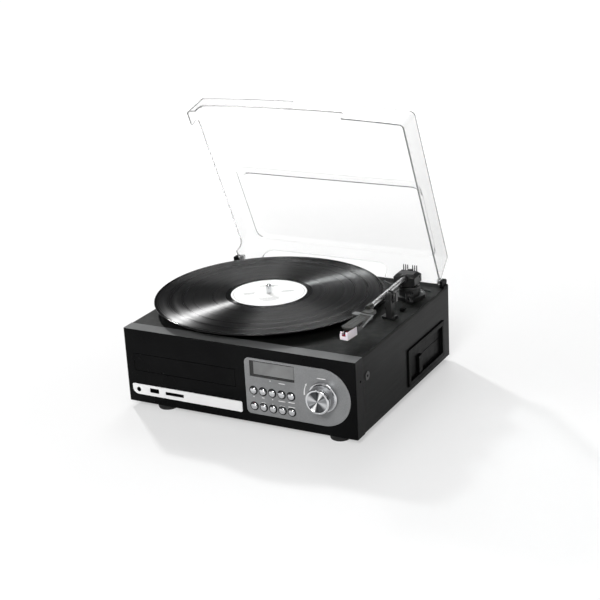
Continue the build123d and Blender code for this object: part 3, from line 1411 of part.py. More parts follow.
def rear_plate():
    """The plate over the opening in the back, with holes for the sockets."""
    outline = rounded(BACK_X0, BACK_X1, Z_B + BACK_Z0, Z_B + BACK_Z1, BACK_R)
    plate = slab_y(outline, Y_B, Y_B + BACK_T)
    for x, z in phono_places(SPEAKER_X) + phono_places(LINE_X):
        plate -= rod_y(x, Y_B - OVER, Y_B + BACK_T + OVER, z, PHONO_R + RUN_FIT)
    half_w = INLET_W / 2
    half_h = INLET_H / 2
    z = Z_B + INLET_Z
    return plate - block(
        INLET_X - half_w, INLET_X + half_w, Y_B - OVER, Y_B + BACK_T + OVER, z - half_h, z + half_h
    )


def phono_jacks(first):
    """Four phono jacks: each a sleeve through the plate, a wider body inside and a bore."""
    group = None
    end = Y_B + BACK_T + PHONO_LENGTH
    for x, z in phono_places(first):
        jack = rod_y(x, Y_B, end, z, PHONO_R)
        jack += rod_y(x, Y_B - PHONO_BODY, Y_B, z, PHONO_R + PHONO_SHOULDER)
        jack -= rod_y(x, Y_B, end + OVER, z, PHONO_BORE_R)
        group = jack if group is None else group + jack
    return group


def power_inlet():
    """The mains inlet with its two pins."""
    half_w = INLET_W / 2
    half_h = INLET_H / 2
    wall = INLET_WALL
    z = Z_B + INLET_Z
    end = Y_B + BACK_T
    inlet = block(INLET_X - half_w, INLET_X + half_w, end - INLET_DEPTH, end, z - half_h, z + half_h)
    rim_w = half_w + INLET_FLANGE
    rim_h = half_h + INLET_FLANGE
    inlet += block(INLET_X - rim_w, INLET_X + rim_w, end, end + INLET_FLANGE_T, z - rim_h, z + rim_h)
    inlet -= block(
        INLET_X - half_w + wall, INLET_X + half_w - wall,
        end - INLET_DEPTH + wall, end + INLET_FLANGE_T + OVER,
        z - half_h + wall, z + half_h - wall,
    )
    start = end - INLET_DEPTH + wall
    for sign in (-1, 1):
        inlet += rod_y(INLET_X + sign * INLET_PIN_X, start, start + INLET_PIN_L, z, INLET_PIN_R)
    return inlet


def main_board():
    """The main board on its posts, with transformer, heat sink and capacitors."""
    board = block(BOARD_X0, BOARD_X1, BOARD_Y0, BOARD_Y1, BOARD_Z, BOARD_Z + BOARD_T)
    top = BOARD_Z + BOARD_T
    wide, deep, high = TRANSFORMER
    edge = 2 * POST_INSET
    x = BOARD_X0 + edge
    y = BOARD_Y1 - edge
    board += block(x, x + wide, y - deep, y, top, top + high)
    wide, deep, high = HEAT_SINK
    x1 = BOARD_X1 - edge
    board += block(x1 - wide, x1, y - deep, y, top, top + high)
    for n in (0, 1):
        x = x1 - CAPACITOR_R - n * 3 * CAPACITOR_R
        board += rod_z(x, BOARD_Y0 + edge, top, top + CAPACITOR_H, CAPACITOR_R)
    return board


# Assembly
def all_parts():
    """Every piece by name, in the cabinet's own coordinates."""
    parts = {
        "cabinet_shell": cabinet_shell(),
        "front_panel": front_panel(),
        "deck_plate": deck_plate(),
        "bottom_plate": bottom_plate(),
        "feet": feet(),
        "base_screws": base_screws(),
        "platter": platter(),
        "slip_mat": slip_mat(),
        "record": record(),
        "record_label": record_label(),
        "spindle": spindle(),
        "drive_belt": drive_belt(),
        "platter_motor": platter_motor(),
        "motor_pulley": motor_pulley(),
        "arm_base": arm_base(),
        "cue_lever": cue_lever(),
        "cue_platform": cue_platform(),
        "arm_turret": arm_turret(),
        "arm_pin": arm_pin(),
        "arm_hub": arm_hub(),
        "arm_tube": arm_tube(),
        "headshell": headshell(),
        "finger_lift": finger_lift(),
        "cartridge": cartridge(),
        "stylus": stylus(),
        "stylus_guard": stylus_guard(),
        "arm_rest": arm_rest(),
        "rest_clip": rest_clip(),
        "speed_switch": slide_switch(SPEED_X),
        "stop_switch": slide_switch(STOP_X),
        "cover": cover(),
        "hinge_brackets": hinge_brackets(),
        "control_panel": control_panel(),
        "display_window": display_window(),
        "volume_knob": volume_knob(),
        "control_board": control_board(),
        "cd_tray": cd_tray(),
        "cd_mechanism": cd_mechanism(),
        "port_strip": port_strip(),
        "front_sockets": front_sockets(),
        "cassette_bezel": cassette_bezel(),
        "cassette_flap": cassette_flap(),
        "eject_key": eject_key(),
        "cassette_mechanism": cassette_mechanism(),
        "headphone_jack": headphone_jack(),
        "rear_plate": rear_plate(),
        "speaker_jacks": phono_jacks(SPEAKER_X),
        "line_jacks": phono_jacks(LINE_X),
        "power_inlet": power_inlet(),
        "main_board": main_board(),
    }
    for n, (x, z) in enumerate(button_places(), start=1):
        parts[f"button_{n:02d}"] = button(x, z)
    return parts


def origin_shift(parts):
    """The move that puts the origin under the middle of the whole box."""
    boxes = [shape.bounding_box() for shape in parts.values()]
    x0 = min(box.min.X for box in boxes)
    x1 = max(box.max.X for box in boxes)
    y0 = min(box.min.Y for box in boxes)
    y1 = max(box.max.Y for box in boxes)
    z0 = min(box.min.Z for box in boxes)
    return Pos(-(x0 + x1) / 2, -(y0 + y1) / 2, -z0)


def main():
    """Writes one STEP file for each piece."""
    parts = all_parts()
    shift = origin_shift(parts)
    os.makedirs("parts", exist_ok=True)
    for name, shape in parts.items():
        export_step(shift * shape, os.path.join("parts", name + ".step"))


if __name__ == "__main__":
    main()
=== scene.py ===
import json
import math

import bmesh
import bpy
import numpy as np
from mathutils import Matrix, Vector

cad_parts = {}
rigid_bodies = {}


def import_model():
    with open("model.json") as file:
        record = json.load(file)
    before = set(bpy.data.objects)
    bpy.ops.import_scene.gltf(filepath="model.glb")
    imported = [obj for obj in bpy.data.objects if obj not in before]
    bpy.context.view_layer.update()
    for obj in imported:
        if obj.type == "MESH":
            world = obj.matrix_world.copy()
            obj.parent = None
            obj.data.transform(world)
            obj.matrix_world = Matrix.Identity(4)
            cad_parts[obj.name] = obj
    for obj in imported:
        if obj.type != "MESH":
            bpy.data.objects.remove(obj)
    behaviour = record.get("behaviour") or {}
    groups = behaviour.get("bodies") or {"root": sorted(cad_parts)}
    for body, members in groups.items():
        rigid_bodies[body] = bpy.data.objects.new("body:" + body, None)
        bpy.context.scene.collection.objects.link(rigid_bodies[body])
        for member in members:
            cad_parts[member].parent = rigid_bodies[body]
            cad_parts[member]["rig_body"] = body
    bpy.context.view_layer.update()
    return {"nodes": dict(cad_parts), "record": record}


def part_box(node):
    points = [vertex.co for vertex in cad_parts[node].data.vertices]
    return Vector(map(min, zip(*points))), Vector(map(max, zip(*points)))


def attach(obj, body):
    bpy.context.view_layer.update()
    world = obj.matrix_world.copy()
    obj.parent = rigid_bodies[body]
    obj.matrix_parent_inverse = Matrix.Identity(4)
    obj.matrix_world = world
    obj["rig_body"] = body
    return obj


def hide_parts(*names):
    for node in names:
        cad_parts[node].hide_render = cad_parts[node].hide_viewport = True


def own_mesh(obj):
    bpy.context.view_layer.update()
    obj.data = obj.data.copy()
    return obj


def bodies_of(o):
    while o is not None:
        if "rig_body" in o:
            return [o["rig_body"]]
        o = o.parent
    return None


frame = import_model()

# The looks of a compact record player: finishes for every CAD piece, and turned, swept and
# gridded pieces where the photograph shows more than the CAD solids hold.

bl_info = {
    "name": "Compact Record Player",
    "version": (1, 0, 0),
    "blender": (4, 5, 0),
    "location": "3D Viewport > Sidebar > Player",
    "description": "Dresses the packed model of a compact record player",
    "category": "Object",
}

MM = 0.001

# Directions that a turned piece can face
UP = (0, 0, 1)
FRONT = (0, -1, 0)
BACK = (0, 1, 0)
RIGHT = (1, 0, 0)

# Camera, from the photograph: degrees, metres and the lens for a 36 mm sensor
VIEW_AZIMUTH = 29.127
VIEW_ELEVATION = 19.970
VIEW_ROLL = -3.196
VIEW_DISTANCE = 1.9537
VIEW_TARGET = (-0.04215, 0.11702, 0.067)
VIEW_LENS = 83.68

# Painted reflections on the knob's spun face: wedges of light and dark tone painted into its colour, in
# pairs:
# the angle in degrees, the doubled angle's cosine where the pair starts and where it is full, and its
# tone
PAINTED_REFLECTION_WEDGES = (
    (118, 0.25, 0.9, "#4a4b4d"), (60, 0.7, 0.95, "#f6f6f6"), (88, 0.8, 0.97, "#3a3b3d"),
    (42, 0.9, 0.99, "#56585a"), (15, 0.7, 0.98, "#8e9092"),
)

# Headshell: how far it turns from straight ahead, where its middle is from the guard's, its top over
# the cartridge's top, and its ribs
HEAD_TURN = math.radians(-5)
HEAD_OFFSET = (-2 * MM, 25 * MM)
HEAD_THICKNESS = 2.2 * MM
RIB_PLACES = (-4.2, 0, 4.2)

# Meshes: points closer than this are one, and edges that turn by more than this are sharp
JOIN = 0.002 * MM
SHARP_ANGLE = math.radians(35)

# Record: how wide tracks and grooves are drawn, how rough they are, and where its label's ring is
TRACK_WIDTH = 9 * MM
GROOVE_PITCH = 1.1 * MM
GROOVE_ROUGHNESS = (0.23, 0.44)
FLAT_ROUGHNESS = 0.16
LABEL_RING = 46.5 * MM

# Distance between buttons, and radius of a foot, in millimetres
BUTTON_PITCH = 13.05
FOOT_RADIUS = 14

# Screws and sockets of the back plate: how far in from the edges of their boxes their middles are
SCREW_INSET = 4 * MM
SOCKET_INSET = 5.2 * MM

# Tonearm leads: places across the block, how far back they reach, how far they lean in and their radius
LEAD_PLACES = (-9.3, -6.4, -3.5, 3.5, 6.4, 9.3)
LEAD_REACH = 7 * MM
LEAD_LEAN = 3.4 * MM
LEAD_RADIUS = 0.7 * MM

# Lamps: direction from the player, distance and size in metres, and share of the floor's light
LAMPS = {
    "rear_left_lamp": ((-0.66, 0.5, 0.56), 3.4, 0.2, 0.38),
    "overhead_lamp": ((-0.05, 0.1, 0.92), 2.4, 1.8, 0.12),
    "front_lamp": ((0.23, -1.0, 0.7), 2.4, 0.7, 0.34),
    "rear_lamp": ((-0.33, 0.85, 1.05), 2.6, 1.0, 0.22),
    "right_lamp": ((1.0, -0.55, 0.75), 2.4, 1.0, 0.02),
}
SKY_LEVEL = 0.06
HORIZON_HEIGHT = 0.16

# Floor: paint as other pieces see it and as the eye does, its lift near the player and far from it,
# and the lift that metal sees
FLOOR_SHADE = 0.8
FLOOR_SEEN = 0.45
FLOOR_LIFT = (0.46, 1.0)
FLOOR_LIFT_REACH = (0.15, 3.0)
METAL_LIFT = 0.1


# Colours and small helpers
def linear(colour):
    """An sRGB hex colour as linear red, green and blue with an alpha of one."""
    srgb = np.array([int(colour[i:i + 2], 16) for i in (1, 3, 5)]) / 255
    curve = np.where(srgb <= 0.04045, srgb / 12.92, ((srgb + 0.055) / 1.055) ** 2.4)
    return (*curve.tolist(), 1.0)


def opaque(colour):
    """A colour property as the four numbers that a shader socket takes."""
    return (*tuple(colour)[:3], 1.0)


def span(node):
    """A CAD node's lowest and highest corner as arrays, in metres."""
    low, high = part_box(node)
    return np.array(low), np.array(high)


def round_node(node, axis, end):
    """A round CAD node's middle at one end of its axis (0 the low one, 1 the high one), its radius and
    its length along the axis, both in millimetres."""
    corners = span(node)
    size = (corners[1] - corners[0]) / MM
    middle = (corners[0] + corners[1]) / 2
    middle[axis] = corners[end][axis]
    return middle, size[0] / 2, size[axis]


def corners_in(node, inset, axis, level):
    """Four places near the corners of a CAD node's box, this far in, at a level along an axis."""
    low, high = span(node)
    first, second = [side for side in range(3) if side != axis]
    places = np.full((4, 3), level, float)
    places[:, first] = np.repeat([low[first] + inset, high[first] - inset], 2)
    places[:, second] = np.tile([low[second] + inset, high[second] - inset], 2)
    return places


def body_of(node):
    """The body that a CAD node rides on."""
    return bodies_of(frame["nodes"][node])[0]


def slot_of(node):
    """The record's material slot of a CAD node."""
    rows = frame["record"]["subparts"]
    return next(row["material_slot"] for row in rows if row["node"] == node)


# Meshes from arrays
def grid_piece(name, sheets, materials, wrap=True, crease=40, index=None):
    """Joins grids of points into one mesh. The array has the shape (copies, rows, columns, 3).

    Each quad joins a point, the next one in its row and the two under them in the next row. With
    wrap the last column meets the first. The UV map runs along the rows' profile first and
    round the columns second, so a tangent from it points across turned grooves.
    """
    copies, rows, columns = sheets.shape[:3]
    points = np.arange(copies * rows * columns).reshape(copies, rows, columns)
    after = np.roll(points, -1, axis=2) if wrap else points[:, :, 1:]
    before = points if wrap else points[:, :, :-1]
    quads = np.stack([before[:, :-1], after[:, :-1], after[:, 1:], before[:, 1:]], axis=-1)
    quads = quads.reshape(-1, 4)
    across = before.shape[2]
    r, c = np.meshgrid(np.arange(rows - 1), np.arange(across), indexing="ij")
    corners_u = np.stack([r, r, r + 1, r + 1], axis=-1) / (rows - 1)
    corners_v = np.stack([c, c + 1, c + 1, c], axis=-1) / across
    uv = np.tile(np.stack([corners_u, corners_v], axis=-1).reshape(-1, 2), (copies, 1))
    mesh = bpy.data.meshes.new(name)
    mesh.vertices.add(sheets.size // 3)
    mesh.vertices.foreach_set("co", sheets.astype(np.float32).ravel())
    mesh.loops.add(quads.size)
    mesh.loops.foreach_set("vertex_index", quads.astype(np.int32).ravel())
    mesh.polygons.add(len(quads))
    mesh.polygons.foreach_set("loop_start", np.arange(0, quads.size, 4, dtype=np.int32))
    mesh.uv_layers.new(name="UVMap").data.foreach_set("uv", uv.astype(np.float32).ravel())
    for material in materials:
        mesh.materials.append(material)
    if index is not None:
        mesh.polygons.foreach_set("material_index", index.astype(np.int32).ravel())
    mesh.update(calc_edges=True)
    return finished(name, mesh, crease)


def finished(name, mesh, crease):
    """Closes seams and poles, points the faces outwards and shades the mesh smooth."""
    shape = bmesh.new()
    shape.from_mesh(mesh)
    bmesh.ops.remove_doubles(shape, verts=shape.verts, dist=JOIN)
    bmesh.ops.recalc_face_normals(shape, faces=shape.faces)
    shape.to_mesh(mesh)
    shape.free()
    mesh.polygons.foreach_set("use_smooth", np.ones(len(mesh.polygons), bool))
    mesh.set_sharp_from_angle(angle=math.radians(crease))
    piece = bpy.data.objects.new(name, mesh)
    bpy.context.scene.collection.objects.link(piece)
    return piece


def turned(profile, centres, axis, columns, notch=None):
    """A profile of radius and height pairs, in millimetres, turned about an axis at each centre.

    Point = centre + radius * (cos a * side + sin a * up) + height * axis. A notch is taken from
    the height, and has one number for each row and column.
    """
    axis = np.array(axis, float)
    side = np.array(RIGHT, float) if axis[0] == 0 else np.array(BACK, float)
    up = np.cross(axis, side)
    angles = np.linspace(0, 2 * np.pi, columns, endpoint=False)
    ring = np.cos(angles)[:, None] * side + np.sin(angles)[:, None] * up
    profile = np.array(profile, float) * MM
    height = np.repeat(profile[:, 1:], columns, axis=1)
    if notch is not None:
        height = height - notch * MM
    shape = profile[:, :1, None] * ring + height[:, :, None] * axis
    return np.array(centres, float).reshape(-1, 1, 1, 3) + shape


def eased(points, ease, steps=4):
    """Rounds a profile's inner corners: each becomes a parabola from ease before it to ease after it."""
    points = np.array(points, float)
    corner = points[1:-1]

    def toward(target):
        line = target - corner
        length = np.linalg.norm(line, axis=1, keepdims=True)
        return corner + line * np.minimum(ease / length, 0.5)

    start = toward(points[:-2])
    end = toward(points[2:])
    t = np.linspace(0, 1, steps)[:, None, None]
    curve = (1 - t) ** 2 * start + 2 * t * (1 - t) * corner + t ** 2 * end
    return np.vstack([points[:1], curve.transpose(1, 0, 2).reshape(-1, 2), points[-1:]])


def plaque(half_width, half_height, rise, power=4, columns=24):
    """A thin raised oblong: its rows run from the middle of its foot over its edge to its top's middle.

    The rim is x = a * |cos t|^(2/p), y = b * |sin t|^(2/p) with the signs of cos and sin. Sizes are in
    millimetres, and the result has the shape (rows, columns, 3) with the height as the third number.
    """
    t = np.linspace(0, 2 * np.pi, columns, endpoint=False)
    x = half_width * np.sign(np.cos(t)) * np.abs(np.cos(t)) ** (2 / power)
    y = half_height * np.sign(np.sin(t)) * np.abs(np.sin(t)) ** (2 / power)
    inset = 0.35 * min(half_width, half_height)
    share_x = np.array([0, 1, 1, 1 - inset / half_width, 0])
    share_y = np.array([0, 1, 1, 1 - inset / half_height, 0])
    height = np.array([0, 0, 0.7, 1, 1]) * rise
    rows = [share_x[:, None] * x, share_y[:, None] * y, np.repeat(height[:, None], columns, axis=1)]
    return np.stack(rows, axis=-1)


def placed(shape, x, y, angle):
    """A flat shape, moved by x and y and then turned about the upright axis."""
    across = shape[..., 0] + x
    along = shape[..., 1] + y
    c, s = math.cos(angle), math.sin(angle)
    return np.stack([across * c - along * s, across * s + along * c, shape[..., 2]], axis=-1)


def swept(path, radius, sides):
    """A round tube along a path: each ring stands square to the path's direction there.

    The path has the shape (points, 3). Two more rings of no radius close the ends.
    """
    way = np.gradient(path, axis=0)
    way /= np.linalg.norm(way, axis=1, keepdims=True)
    side = np.cross(way, np.array(RIGHT, float))
    side /= np.linalg.norm(side, axis=1, keepdims=True)
    up = np.cross(way, side)
    angles = np.linspace(0, 2 * np.pi, sides, endpoint=False)
    cosine, sine = np.cos(angles)[None, :, None], np.sin(angles)[None, :, None]
    tube = path[:, None] + radius * (cosine * side[:, None] + sine * up[:, None])
    start = np.repeat(path[:1, None], sides, axis=1)
    end = np.repeat(path[-1:, None], sides, axis=1)
    return np.concatenate([start, tube, end])


def dress(piece, body, slot, *nodes):
    """Hides the CAD nodes that a piece stands for and puts the piece on its body. The slot is not used.
    """
    if nodes:
        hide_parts(*nodes)
    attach(piece, body)


def stand_in(node, name, sheets, *finishes, **options):
    """Makes a piece that stands for a CAD node and puts it on that node's body."""
    piece = grid_piece(name, sheets, [MATERIALS[finish] for finish in finishes], **options)
    dress(piece, body_of(node), slot_of(node), node)


def addition(name, sheets, finish, body, like):
    """Makes a piece that the CAD model lacks and puts it on a body."""
    dress(grid_piece(name, sheets, [MATERIALS[finish]]), body, slot_of(like))


# Nodes of the materials
def add(tree, kind, inputs=None, **settings):
    """Adds a shader node. Settings are its properties, and each input is a value or a link."""
    node = tree.nodes.new("ShaderNode" + kind)
    for name, value in settings.items():
        setattr(node, name, value)
    for name, value in (inputs or {}).items():
        if isinstance(value, bpy.types.NodeSocket):
            tree.links.new(value, node.inputs[name])
        else:
            node.inputs[name].default_value = value
    return node


def start(name, **sockets):
    """A new material with one Principled surface, and the object's own coordinates."""
    material = bpy.data.materials.new(name)
    material.use_nodes = True
    tree = material.node_tree
    shader = tree.nodes["Principled BSDF"]
    for socket, value in sockets.items():
        shader.inputs[socket.replace("_", " ")].default_value = value
    place = add(tree, "TexCoord").outputs["Object"]
    return material, tree, shader, place


def cloud(tree, place, size, low, high, detail=3.0):
    """A cloudy value from low to high, with clouds about as large as size."""
    noise = add(tree, "TexNoise", {"Vector": place, "Scale": 1 / size, "Detail": detail})
    scaled = add(tree, "MapRange", {
        "Value": noise.outputs["Fac"], "From Min": 0.3, "From Max": 0.7, "To Min": low, "To Max": high,
    })
    return scaled.outputs["Result"]


def uneven_gloss(tree, shader, place, size, low, high):
    """Lets the roughness drift from low to high, in patches about as large as size."""
    tree.links.new(cloud(tree, place, size, low, high), shader.inputs["Roughness"])


def two_tones(tree, shader, shares, first, second):
    """Colours the surface between two tones, by the sum of the shares, which is held to nought to one."""
    share = shares[0]
    for other in shares[1:]:
        share = add(tree, "Math", {0: share, 1: other}, operation="ADD", use_clamp=True).outputs[0]
    tone = add(tree, "Mix", {0: share, 6: first, 7: second}, data_type="RGBA").outputs[2]
    tree.links.new(tone, shader.inputs["Base Color"])


def edge_wear_and_highlight(tree, strength):
    """A share that rises on outer edges, as wear where hands and cloths rub and as a painted highlight
    where the
    edges catch the light: there the normal that is rounded over the edge differs from the face's own."""
    rounded = add(tree, "Bevel", {"Radius": 0.7 * MM}, samples=4).outputs[0]
    own = add(tree, "NewGeometry").outputs["Normal"]
    both = add(tree, "VectorMath", {0: rounded, 1: own}, operation="DOT_PRODUCT").outputs["Value"]
    return add(tree, "MapRange", {
        "Value": both, "From Min": 0.86, "From Max": 0.99, "To Min": strength, "To Max": 0.0,
    }).outputs["Result"]


def relief(tree, shader, height, depth):
    """Lets a height pattern, as deep as depth in metres, tilt the surface."""
    bump = add(tree, "Bump", {"Height": height, "Distance": depth, "Strength": 1.0})
    tree.links.new(bump.outputs["Normal"], shader.inputs["Normal"])


def offset_from(tree, place, centre, plane):
    """Each point's offset from a centre, flattened to the plane whose third direction is nought."""
    moved = add(tree, "VectorMath", {0: place, 1: tuple(centre)}, operation="SUBTRACT").outputs["Vector"]
    return add(tree, "VectorMath", {0: moved, 1: plane}, operation="MULTIPLY").outputs["Vector"]


def reach_from(tree, place, centre):
    """Each point's distance from the upright axis through a centre."""
    offset = offset_from(tree, place, centre, (1.0, 1.0, 0.0))
    return add(tree, "VectorMath", {0: offset}, operation="LENGTH").outputs["Value"]


def across_grooves(tree, shader):
    """Stretches the gloss across turned grooves, by the UV map that runs along their profile."""
    tangent = add(tree, "Tangent", direction_type="UV_MAP", uv_map="UVMap")
    tree.links.new(tangent.outputs[0], shader.inputs["Tangent"])


# Materials
def moulded_plastic(name, colour, worn_and_lit_edge_colour, roughness, grain, depth, level, **sockets):
    """Injection-moulded plastic with a spark-eroded grain, which breaks its shine into a soft sheen.

    The colour drifts a little over centimetres and lightens on outer edges, as wear and as a painted
    highlight.
    The grain's size and depth are in millimetres, and are a little coarser than real where it would not
    show.
    """
    material, tree, shader, place = start(name, Specular_IOR_Level=level, **sockets)
    drift = cloud(tree, place, 35 * MM, 0.0, 0.45)
    two_tones(tree, shader, (drift, edge_wear_and_highlight(tree, 0.55)), colour, worn_and_lit_edge_colour)
    uneven_gloss(tree, shader, place, 9 * MM, roughness * 0.88, roughness * 1.12)
    relief(tree, shader, cloud(tree, place, grain * MM, 0.0, 1.0), depth * MM)
    return material


def lacquer(colour):
    """Piano-black lacquer on ABS: almost a mirror, with the faint orange peel of a sprayed coat."""
    material, tree, shader, place = start("piano_black_lacquer", Specular_IOR_Level=0.06)
    drift = cloud(tree, place, 60 * MM, 0.0, 0.5)
    # Outer edges lighten: wear, and a painted highlight
    two_tones(tree, shader, (drift, edge_wear_and_highlight(tree, 0.5)), colour, linear("#141515"))
    uneven_gloss(tree, shader, place, 25 * MM, 0.05, 0.11)
    relief(tree, shader, cloud(tree, place, 5 * MM, 0.0, 1.0), 0.006 * MM)
    return material


def wrapped_board(colour):
    """Particle board wrapped in black PVC foil, with a printed and lightly embossed grain from front
    to back: it gives a dull sheen with faint lines."""
    material, tree, shader, place = start("foil_wrapped_board", Specular_IOR_Level=0.08)
    along = add(tree, "Mapping", {"Vector": place, "Scale": (1.0, 0.06, 1.0)}).outputs["Vector"]
    grain = cloud(tree, along, 1.6 * MM, 0.0, 1.0, detail=6.0)
    # Outer edges lighten: wear, and a painted highlight
    two_tones(tree, shader, (grain, edge_wear_and_highlight(tree, 0.6)), colour, linear("#0c0d0d"))
    uneven_gloss(tree, shader, along, 3 * MM, 0.34, 0.4)
    relief(tree, shader, grain, 0.004 * MM)
    return material


def pressed_vinyl(centre, radius, label_radius):
    """Pressed PVC: fine grooves catch the light in narrow streaks, and bands mark the tracks.

    Real grooves are 0.1 mm apart. They are drawn 1.1 mm apart, so that they show, and the anisotropic
    gloss across them stands for the ones too fine to draw.
    """
    material, tree, shader, place = start(
        "pressed_vinyl", Base_Color=linear("#040405"), Specular_IOR_Level=0.3, Anisotropic=1.0,
    )
    reach = reach_from(tree, place, centre)
    track, fine = [
        add(tree, "TexNoise", {"W": reach, "Scale": 1 / size, "Detail": detail}, noise_dimensions="1D")
        for size, detail in ((TRACK_WIDTH, 1.0), (GROOVE_PITCH, 2.0))
    ]
    both = add(tree, "Math", {0: track.outputs["Fac"], 1: fine.outputs["Fac"]}, operation="ADD")
    least, most = GROOVE_ROUGHNESS
    rough = add(tree, "MapRange", {
        "Value": both.outputs[0], "From Min": 0.6, "From Max": 1.4, "To Min": least, "To Max": most,
    })
    inner = add(tree, "MapRange", {
        "Value": reach, "From Min": label_radius + 6 * MM, "From Max": label_radius + 8 * MM,
        "To Min": 0.0, "To Max": 1.0,
    })
    outer = add(tree, "MapRange", {
        "Value": reach, "From Min": radius - 4 * MM, "From Max": radius - 3 * MM,
        "To Min": 1.0, "To Max": 0.0,
    })
    band = add(tree, "Math", {0: inner.outputs[0], 1: outer.outputs[0]}, operation="MULTIPLY").outputs[0]
    final = add(tree, "MapRange", {"Value": band, "To Min": FLAT_ROUGHNESS, "To Max": rough.outputs[0]})
    tree.links.new(final.outputs[0], shader.inputs["Roughness"])
    height = add(tree, "Math", {0: fine.outputs["Fac"], 1: band}, operation="MULTIPLY")
    relief(tree, shader, height.outputs[0], 0.035 * MM)
    across_grooves(tree, shader)
    return material


def label_paper(centre, colour):
    """Pressed label paper: uncoated and matt, with a printed ring and the tooth of its fibres."""
    material, tree, shader, place = start("label_paper", Specular_IOR_Level=0.25)
    away = add(tree, "Math", {0: reach_from(tree, place, centre), 1: LABEL_RING}, operation="SUBTRACT")
    size = add(tree, "Math", {0: away.outputs[0]}, operation="ABSOLUTE").outputs[0]
    ring = add(tree, "MapRange", {
        "Value": size, "From Min": 0.3 * MM, "From Max": 0.7 * MM, "To Min": 0.55, "To Max": 0.0,
    }).outputs[0]
    fibre = cloud(tree, place, 0.6 * MM, 0.0, 0.12)
    two_tones(tree, shader, (ring, fibre), colour, linear("#8f8f8f"))
    uneven_gloss(tree, shader, place, 4 * MM, 0.55, 0.75)
    relief(tree, shader, cloud(tree, place, 0.4 * MM, 0.0, 1.0), 0.02 * MM)
    return material


def chrome_plate():
    """Bright chrome on polished plastic: a mirror with the faint unevenness of the plated moulding."""
    material, tree, shader, place = start("chrome_plate", Base_Color=linear("#d6d7d9"), Metallic=1.0)
    uneven_gloss(tree, shader, place, 3 * MM, 0.08, 0.125)
    relief(tree, shader, cloud(tree, place, 0.8 * MM, 0.0, 1.0), 0.002 * MM)
    return material


def spun_chrome_painted_reflections(centre):
    """Chrome over circular turning marks, which gather light and dark into wedges round the centre.

    The marks are finer than the render shows, so the wedges are painted reflections: tones of light and
    dark in the base colour, in pairs across the centre. With c and s as the cosine and sine of a point's
    angle, the doubled angle's are 2cc - 1 and 2cs, and their product with the pair's own doubled
    direction says how near the point is to it.
    """
    material, tree, shader, place = start("spun_chrome_painted_reflections", Metallic=1.0, Anisotropic=0.8)
    flat = offset_from(tree, place, centre, (1.0, 0.0, 1.0))
    unit = add(tree, "VectorMath", {0: flat}, operation="NORMALIZE").outputs["Vector"]
    parts = add(tree, "SeparateXYZ", {0: unit}).outputs
    square = add(tree, "Math", {0: parts["X"], 1: parts["X"]}, operation="MULTIPLY").outputs[0]
    cosine = add(tree, "Math", {0: square, 1: 2.0, 2: -1.0}, operation="MULTIPLY_ADD").outputs[0]
    product = add(tree, "Math", {0: parts["X"], 1: parts["Z"]}, operation="MULTIPLY").outputs[0]
    sine = add(tree, "Math", {0: product, 1: 2.0}, operation="MULTIPLY").outputs[0]
    doubled = add(tree, "CombineXYZ", {"X": cosine, "Y": sine}).outputs[0]
    tone = linear("#c8c9cb")
    # Each pair paints its reflected tone into the base colour, light on some wedges and dark on others
    for degrees, least, most, other in PAINTED_REFLECTION_WEDGES:
        turn = math.radians(2 * degrees)
        own = (math.cos(turn), math.sin(turn), 0.0)
        near = add(tree, "VectorMath", {0: doubled, 1: own}, operation="DOT_PRODUCT").outputs["Value"]
        share = add(tree, "MapRange", {"Value": near, "From Min": least, "From Max": most}).outputs[0]
        tone = add(tree, "Mix", {0: share, 6: tone, 7: linear(other)}, data_type="RGBA").outputs[2]
    tree.links.new(tone, shader.inputs["Base Color"])
    uneven_gloss(tree, shader, place, 3 * MM, 0.16, 0.24)
    relief(tree, shader, cloud(tree, place, 0.8 * MM, 0.0, 1.0), 0.002 * MM)
    across_grooves(tree, shader)
    return material


def drawn_metal(name, colour, roughness, stretch):
    """Drawn or rolled metal: hairlines run along it, so its light breaks up across them."""
    material, tree, shader, place = start(name, Base_Color=linear(colour), Metallic=1.0)
    along = add(tree, "Mapping", {"Vector": place, "Scale": stretch}).outputs["Vector"]
    uneven_gloss(tree, shader, along, 0.7 * MM, roughness * 0.75, roughness * 1.3)
    relief(tree, shader, cloud(tree, along, 0.5 * MM, 0.0, 1.0), 0.004 * MM)
    return material


def silver_paint(colour):
    """Silver paint on plastic: aluminium flakes in a satin lacquer sparkle finely."""
    material, tree, shader, place = start("silver_paint", Metallic=0.35, Specular_IOR_Level=0.3)
    flakes = add(tree, "TexVoronoi", {"Vector": place, "Scale": 1 / (0.45 * MM)})
    spark = add(tree, "SeparateColor", {"Color": flakes.outputs["Color"]}).outputs[0]
    glint = add(tree, "MapRange", {"Value": spark, "To Min": 0.0, "To Max": 0.3}).outputs[0]
    drift = cloud(tree, place, 50 * MM, -0.1, 0.15)
    # Outer edges lighten: wear, and a painted highlight
    two_tones(tree, shader, (glint, drift, edge_wear_and_highlight(tree, 0.9)), colour, linear("#b4b5b6"))
    uneven_gloss(tree, shader, place, 0.9 * MM, 0.36, 0.5)
    relief(tree, shader, spark, 0.004 * MM)
    return material


def clear_styrene(colour):
    """Clear moulded polystyrene: colourless and slightly wavy, and lamps shine through it."""
    material, tree, shader, place = start(
        "clear_polystyrene", Base_Color=colour, Transmission_Weight=0.92, IOR=1.3,
    )
    uneven_gloss(tree, shader, place, 40 * MM, 0.0, 0.035)
    relief(tree, shader, cloud(tree, place, 60 * MM, 0.0, 1.0, detail=0.0), 0.02 * MM)
    lets_light = add(tree, "BsdfTransparent", {"Color": linear("#e4e6e6")})
    ray = add(tree, "LightPath").outputs["Is Shadow Ray"]
    mixed = add(tree, "MixShader", {0: ray, 1: shader.outputs[0], 2: lets_light.outputs[0]})
    tree.links.new(mixed.outputs[0], tree.nodes["Material Output"].inputs["Surface"])
    return material


